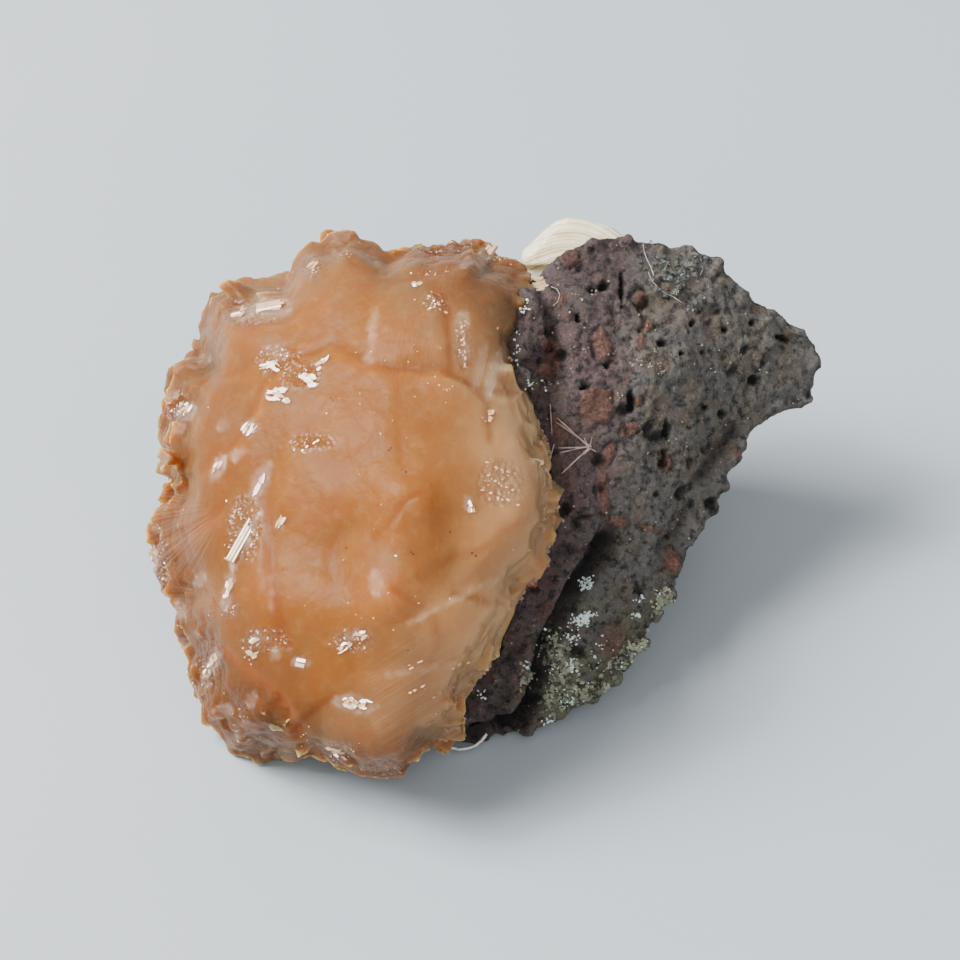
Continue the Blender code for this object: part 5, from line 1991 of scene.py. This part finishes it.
@dataclass
class PaleSheaf:
    """The cream sheaf behind the rock's top edge: leaves over one another, under an arched outline.

    The outline's pixels above its foot sink from leaf to leaf. More leaves hang down between the cluster
    and the rock.
    """

    grain: float = 0.28 * MM
    leaves: int = 5
    thick: float = 3.0 * MM
    seen: tuple[float, float] = (570.0, 240.0)
    foot: float = 255.0
    outline: tuple[Pixel, ...] = (
        (521, 257), (527, 247), (536, 238), (545, 229), (556, 220), (568, 217), (584, 219), (600, 223),
        (614, 228), (624, 236), (630, 248), (628, 264), (522, 266),
    )
    hung: int = 22
    seed: int = 81

    def build(self) -> None:
        """Makes the sheaf's body, and the leaves that stand out of it."""
        cad = cad_surface("pale_crystal_sheaf")
        draw = Random(self.seed)
        bm = merged_copy("pale_crystal_sheaf")
        seen = cad.at_pixel(*self.seen)
        away = (SIGHT.place - seen.point).dot(FACE_NORMAL)
        for number in range(self.leaves):
            share = number / (self.leaves - 1)
            rim = []
            for x, y in self.outline:
                sunk = 10.0 * share * (y < self.foot)
                x, y = x + draw.uniform(-0.8, 0.8), y + sunk + draw.uniform(-0.8, 0.8)
                rim.append(bm.verts.new(SIGHT.place + SIGHT.ray(x, y) * (away + (1.2 - 1.6 * share) * MM)))
            leaf = bm.faces.new(rim)
            thicken(bm, [leaf], self.thick)
        mesh = remeshed(bm, self.grain, "cream_sheaf")
        relaxed(mesh, 4, 0.5)
        self._layer(mesh)
        show("cream_sheaf", mesh, CreamSheaf(), True, ["pale_crystal_sheaf"])

    @staticmethod
    def _layer(mesh: Mesh) -> None:
        """Stores how far up the stack of leaves each point is.

        Args:
            mesh: The mesh.
        """
        points = points_of(mesh)
        local = (points - np.array(FACE_ORIGIN)) @ np.array(FACE_TURN) / MM
        arch = 0.05 * (local[:, 0] - 12.8) ** 2
        keep_value(mesh, "layer", local[:, 1] + arch + 0.3 * noise_at(points, 4.0 * MM) + 50.0)

    def hang(self, near: Surface, beside: Surface) -> None:
        """Makes the leaves that run down from the sheaf between the cluster and the rock.

        Args:
            near: The dressed cluster.
            beside: The dressed rock.
        """
        draw = Random(self.seed)
        bm = bmesh.new()
        for number in range(self.hung):
            share = number / (self.hung - 1)
            x, y = 529 + 12 * share + draw.uniform(-4, 4), 250 + 40 * share
            top = foremost((near, beside), x, y)
            if top is None:
                continue
            normal = (top.normal + 2.0 * FACE_NORMAL).normalized()
            size = (draw.uniform(1.4, 2.8) * MM, draw.uniform(0.3, 0.5) * MM, 2.0 * MM)
            foot = Spot(top.point - normal * 1.8 * MM, normal)
            block(bm, frame_at(foot, along_face(draw.uniform(-14, 6)), normal), size, 0.9)
        mesh = mesh_from(bm, "cream_leaves")
        self._layer(mesh)
        show("cream_leaves", mesh, CreamSheaf("D2B896", "AE8C66", scatter=0.5 * MM))


@dataclass
class SmallCrystals:
    """Groups of small crystals set on the rock: glassy ones, the druse, the rim, hairs and needles."""

    seed: int = 52
    glassy: int = 60
    glassy_at: tuple[float, float] = (674.0, 275.0)
    glassy_spread: tuple[float, float] = (13.0, 11.0)
    hub: tuple[float, float] = (590.0, 447.0)
    tips: tuple[Pixel, ...] = (
        (557, 418), (558, 448), (559, 453), (561, 474), (556, 422), (584, 438), (596, 452), (583, 455),
        (592, 437),
    )
    loose: tuple[tuple[Pixel, ...], ...] = (((554, 444), (546, 474)), ((550, 404), (552, 436)))
    rim: tuple[Pixel, ...] = (
        (434, 739), (441, 744), (450, 747), (459, 749), (468, 748), (476, 745), (482, 740), (486, 734),
    )
    rim_seen: tuple[float, float] = (468.0, 745.0)
    hairs: tuple[tuple[Pixel, ...], ...] = (
        ((643, 244), (644, 252), (647, 260), (651, 268), (654, 276)),
        ((648, 272), (651, 280), (657, 287), (665, 293), (673, 297), (682, 303)),
        ((551, 287), (557, 289), (560, 295), (558, 302), (553, 306)), ((700, 258), (703, 268), (700, 276)),
        ((668, 262), (663, 272), (664, 280)),
    )
    greens: tuple[tuple[Oval, int], ...] = (
        (Oval(563, 668, 16, 40, 20), 240), (Oval(640, 652, 30, 14, 35), 260), (Oval(664, 602, 10, 12), 110),
        (Oval(600, 690, 28, 10, 25), 130), (Oval(553, 705, 14, 16, 30), 60), (Oval(526, 676, 8, 12), 40),
    )
    whites: tuple[tuple[Oval, int], ...] = (
        (Oval(586, 583, 7, 8), 60), (Oval(584, 618, 13, 6, 25), 120), (Oval(570, 638, 8, 8), 20),
        (Oval(572, 664, 8, 6), 40), (Oval(560, 670, 16, 30, 20), 60), (Oval(568, 700, 8, 6), 26),
        (Oval(636, 616, 6, 4, 20), 14), (Oval(640, 655, 24, 10, 35), 60), (Oval(662, 600, 8, 10), 30),
        (Oval(640, 600, 6, 4), 8), (Oval(527, 668, 5, 5), 10), (Oval(548, 722, 8, 5, 25), 16),
        (Oval(480, 695, 5, 5), 10), (Oval(604, 650, 14, 16), 14), (Oval(524, 305, 6, 10), 16),
        (Oval(516, 350, 5, 30), 18), (Oval(530, 385, 14, 5), 12),
    )

    def build(self, rock: Surface) -> None:
        """Makes every group.

        Args:
            rock: The dressed rock.
        """
        self._glassy(rock)
        self._druse(rock)
        self._white_rim()
        self._needles(rock)
        self._hairs(rock)

    def _glassy(self, rock: Surface) -> None:
        """Clear crystals in the hollow at the rock's top edge.

        Args:
            rock: The dressed rock.
        """
        draw = Random(self.seed)
        bm = bmesh.new()
        for _ in range(self.glassy):
            x, y = (draw.gauss(*pair) for pair in zip(self.glassy_at, self.glassy_spread))
            spot = rock.at_pixel(x, y)
            if spot is None:
                continue
            normal = (spot.normal + 0.55 * any_way(draw)).normalized()
            size = draw.choice((0.35, 0.45, 0.6, 0.9)) * draw.uniform(0.85, 1.2) * MM
            sunk = Spot(spot.point - normal * 0.3 * size, normal)
            prism(bm, frame_at(sunk, any_way(draw)), size, size * draw.uniform(1.0, 1.9), 4, 0.3)
        show("glassy_points", bm, ClearCrystal(), False, ["glassy_crystals"])

    def _druse(self, rock: Surface) -> None:
        """The green and white sparkling crust on the rock's lower right.

        Args:
            rock: The dressed rock.
        """
        draw = Random(self.seed + 1)
        green, white = bmesh.new(), bmesh.new()
        groups = ((green, self.greens, 0.3, 0.9), (white, self.whites, 0.18, 0.5))
        for target, places, low, high in groups:
            for oval, count in places:
                turn = math.radians(oval.tilt)
                for _ in range(count):
                    across, tall = draw.gauss(0, 0.5) * oval.across, draw.gauss(0, 0.5) * oval.tall
                    x = oval.x + across * math.cos(turn) + tall * math.sin(turn)
                    y = oval.y - across * math.sin(turn) + tall * math.cos(turn)
                    spot = rock.at_pixel(x, y)
                    if spot is None:
                        continue
                    normal = (spot.normal + 0.8 * GLANCE + 0.5 * any_way(draw)).normalized()
                    size = draw.uniform(low, high) * MM
                    sunk = Spot(spot.point - normal * 0.5 * size, normal)
                    sides = (size, draw.uniform(0.5, 0.9) * size, 0.8 * size)
                    block(target, frame_at(sunk, any_way(draw)), sides, draw.uniform(0.4, 0.8))
        show("green_druse_crystals", green, GreenDruse(), False, ["green_druse"])
        show("white_druse_crystals", white, SilkyWhite("FBFBF6", "E3E7DD"))

    def _white_rim(self) -> None:
        """The thin white crust under the rock's lower left edge."""
        cad = cad_surface("white_rim")
        seen = cad.nearest(SIGHT.place + SIGHT.ray(*self.rim_seen) * SIGHT.distance)
        depth = (SIGHT.place - seen.point).dot(FACE_NORMAL)
        bm = bmesh.new()
        rays = [SIGHT.ray(*pixel) for pixel in self.rim]
        points = [SIGHT.place + ray * (depth / -ray.dot(FACE_NORMAL)) for ray in rays]
        for start, end in zip(points, points[1:]):
            along = end - start
            base = Spot(start - 0.1 * along, along.normalized())
            block(bm, frame_at(base, FACE_NORMAL), (1.6 * MM, 0.4 * MM, 1.2 * along.length), 0.9)
        mesh = remeshed(bm, 0.13 * MM, "white_rim_crust")
        points, normals = points_of(mesh), normals_of(mesh)
        height = 0.08 * noise_at(points, 0.6 * MM, 6.0)
        move_points(mesh, points + normals * height[:, None] * MM)
        show("white_rim_crust", mesh, SilkyWhite("F3F1EC", "CFCFC8"), True, ["white_rim"])

    @staticmethod
    def _strand(bm: Shape, start: Vector, end: Vector, width: float) -> None:
        """Adds one fine needle from start to end.

        Args:
            bm: What gets it.
            start: Where it starts.
            end: Where it ends.
            width: Its width in metres.
        """
        along = end - start
        place = frame_at(Spot(start, along.normalized()), along.orthogonal())
        prism(bm, place, width, along.length, 5, 0.12)

    def _needles(self, rock: Surface) -> None:
        """Needles that spread from a point beside the orange cluster, and loose ones near it.

        Args:
            rock: The dressed rock.
        """
        draw = Random(self.seed + 2)
        bm = bmesh.new()
        hub = rock.at_pixel(*self.hub).point + FACE_NORMAL * 0.5 * MM
        for pixel in self.tips:
            spot = rock.at_pixel(*pixel)
            if spot is None:
                continue
            tip = spot.point + FACE_NORMAL * draw.uniform(0.4, 1.0) * MM
            self._strand(bm, hub + any_way(draw) * 0.2 * MM, tip, draw.uniform(0.13, 0.22) * MM)
        for pixels in self.loose:
            ends = [rock.at_pixel(*pixel) for pixel in pixels]
            if None in ends:
                continue
            start, end = (spot.point + FACE_NORMAL * 0.8 * MM for spot in ends)
            self._strand(bm, start, end, 0.18 * MM)
        finish = SilkyWhite("B09C90", "87736A")
        show("pink_needles", bm, finish, False, ["needle_spray"])

    def _hairs(self, rock: Surface) -> None:
        """Hair-fine fibres by the glassy crystals and beside the sheaf.

        Args:
            rock: The dressed rock.
        """
        bm = bmesh.new()
        for pixels in self.hairs:
            spots = [rock.at_pixel(*pixel) for pixel in pixels]
            raised = [spot.point + spot.normal * 0.1 * MM for spot in spots if spot]
            for start, end in zip(raised, raised[1:]):
                self._strand(bm, start, end, 0.1 * MM)
        show("white_hairs", bm, SilkyWhite("CFCDC5", "9C9A92"))


# Table, light and camera


@dataclass
class Studio:
    """A pale table, soft daylight from the upper left, and the camera."""

    table: float = 4.0
    sky: float = 0.62
    sky_tone: str = "E9EEF3"
    window_power: float = 37.0
    window_size: float = 0.62
    fill_place: Vector = field(default_factory=lambda: Vector((0.1, -0.95, 0.85)))
    fill_power: float = 5.0
    fill_size: float = 1.0
    lamp_power: float = 2.0
    lamp_size: float = 0.07

    def build(self) -> None:
        """Makes the table, the lights and the camera."""
        bm = bmesh.new()
        bmesh.ops.create_grid(bm, x_segments=1, y_segments=1, size=self.table)
        mesh = mesh_from(bm, "table_top")
        mesh.materials.append(PaleTable().make())
        table = bpy.data.objects.new("table_top", mesh)
        bpy.context.scene.collection.objects.link(table)
        world = bpy.data.worlds.new("soft daylight")
        world.use_nodes = True
        sky = world.node_tree.nodes["Background"]
        sky.inputs["Color"].default_value = colour(self.sky_tone)
        sky.inputs["Strength"].default_value = self.sky
        bpy.context.scene.world = world
        self._lamp("window", WINDOW, self.window_size, self.window_power)
        self._lamp("fill", self.fill_place, self.fill_size, self.fill_power)
        self._lamp("lamp", 0.9 * WINDOW, self.lamp_size, self.lamp_power)
        self._camera()

    def _lamp(self, name: str, place: Vector, size: float, power: float) -> None:
        """Adds a square lamp that looks at the specimen.

        Args:
            name: The lamp's name.
            place: Where it stands.
            size: Its side in metres.
            power: Its power in watts.
        """
        light = bpy.data.lights.new(name, "AREA")
        light.size = size
        light.energy = power
        lamp = bpy.data.objects.new(name, light)
        lamp.location = place
        lamp.rotation_euler = (SIGHT.target - place).to_track_quat("-Z", "Y").to_euler()
        bpy.context.scene.collection.objects.link(lamp)

    def _camera(self) -> None:
        """Sets the camera at the photograph's angle."""
        lens = bpy.data.cameras.new("camera")
        lens.lens = SIGHT.lens
        lens.sensor_width = SIGHT.sensor
        camera = bpy.data.objects.new("camera", lens)
        camera.location = SIGHT.place
        camera.rotation_euler = (SIGHT.target - SIGHT.place).to_track_quat("-Z", "Y").to_euler()
        bpy.context.scene.collection.objects.link(camera)
        bpy.context.scene.camera = camera


def main() -> None:
    """Dresses the specimen."""
    logging.basicConfig(level=logging.INFO, format="%(message)s")
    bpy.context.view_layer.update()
    Studio().build()
    cluster = OrangeCluster().build()
    EdgeTeeth().build(cluster)
    CleavageFaces().build(cluster)
    rock = BasaltRock().build()
    RockSparkles().build(rock)
    sheaf = PaleSheaf()
    sheaf.build()
    sheaf.hang(cluster, rock)
    SmallCrystals().build(rock)


if __name__ == "__main__":
    main()
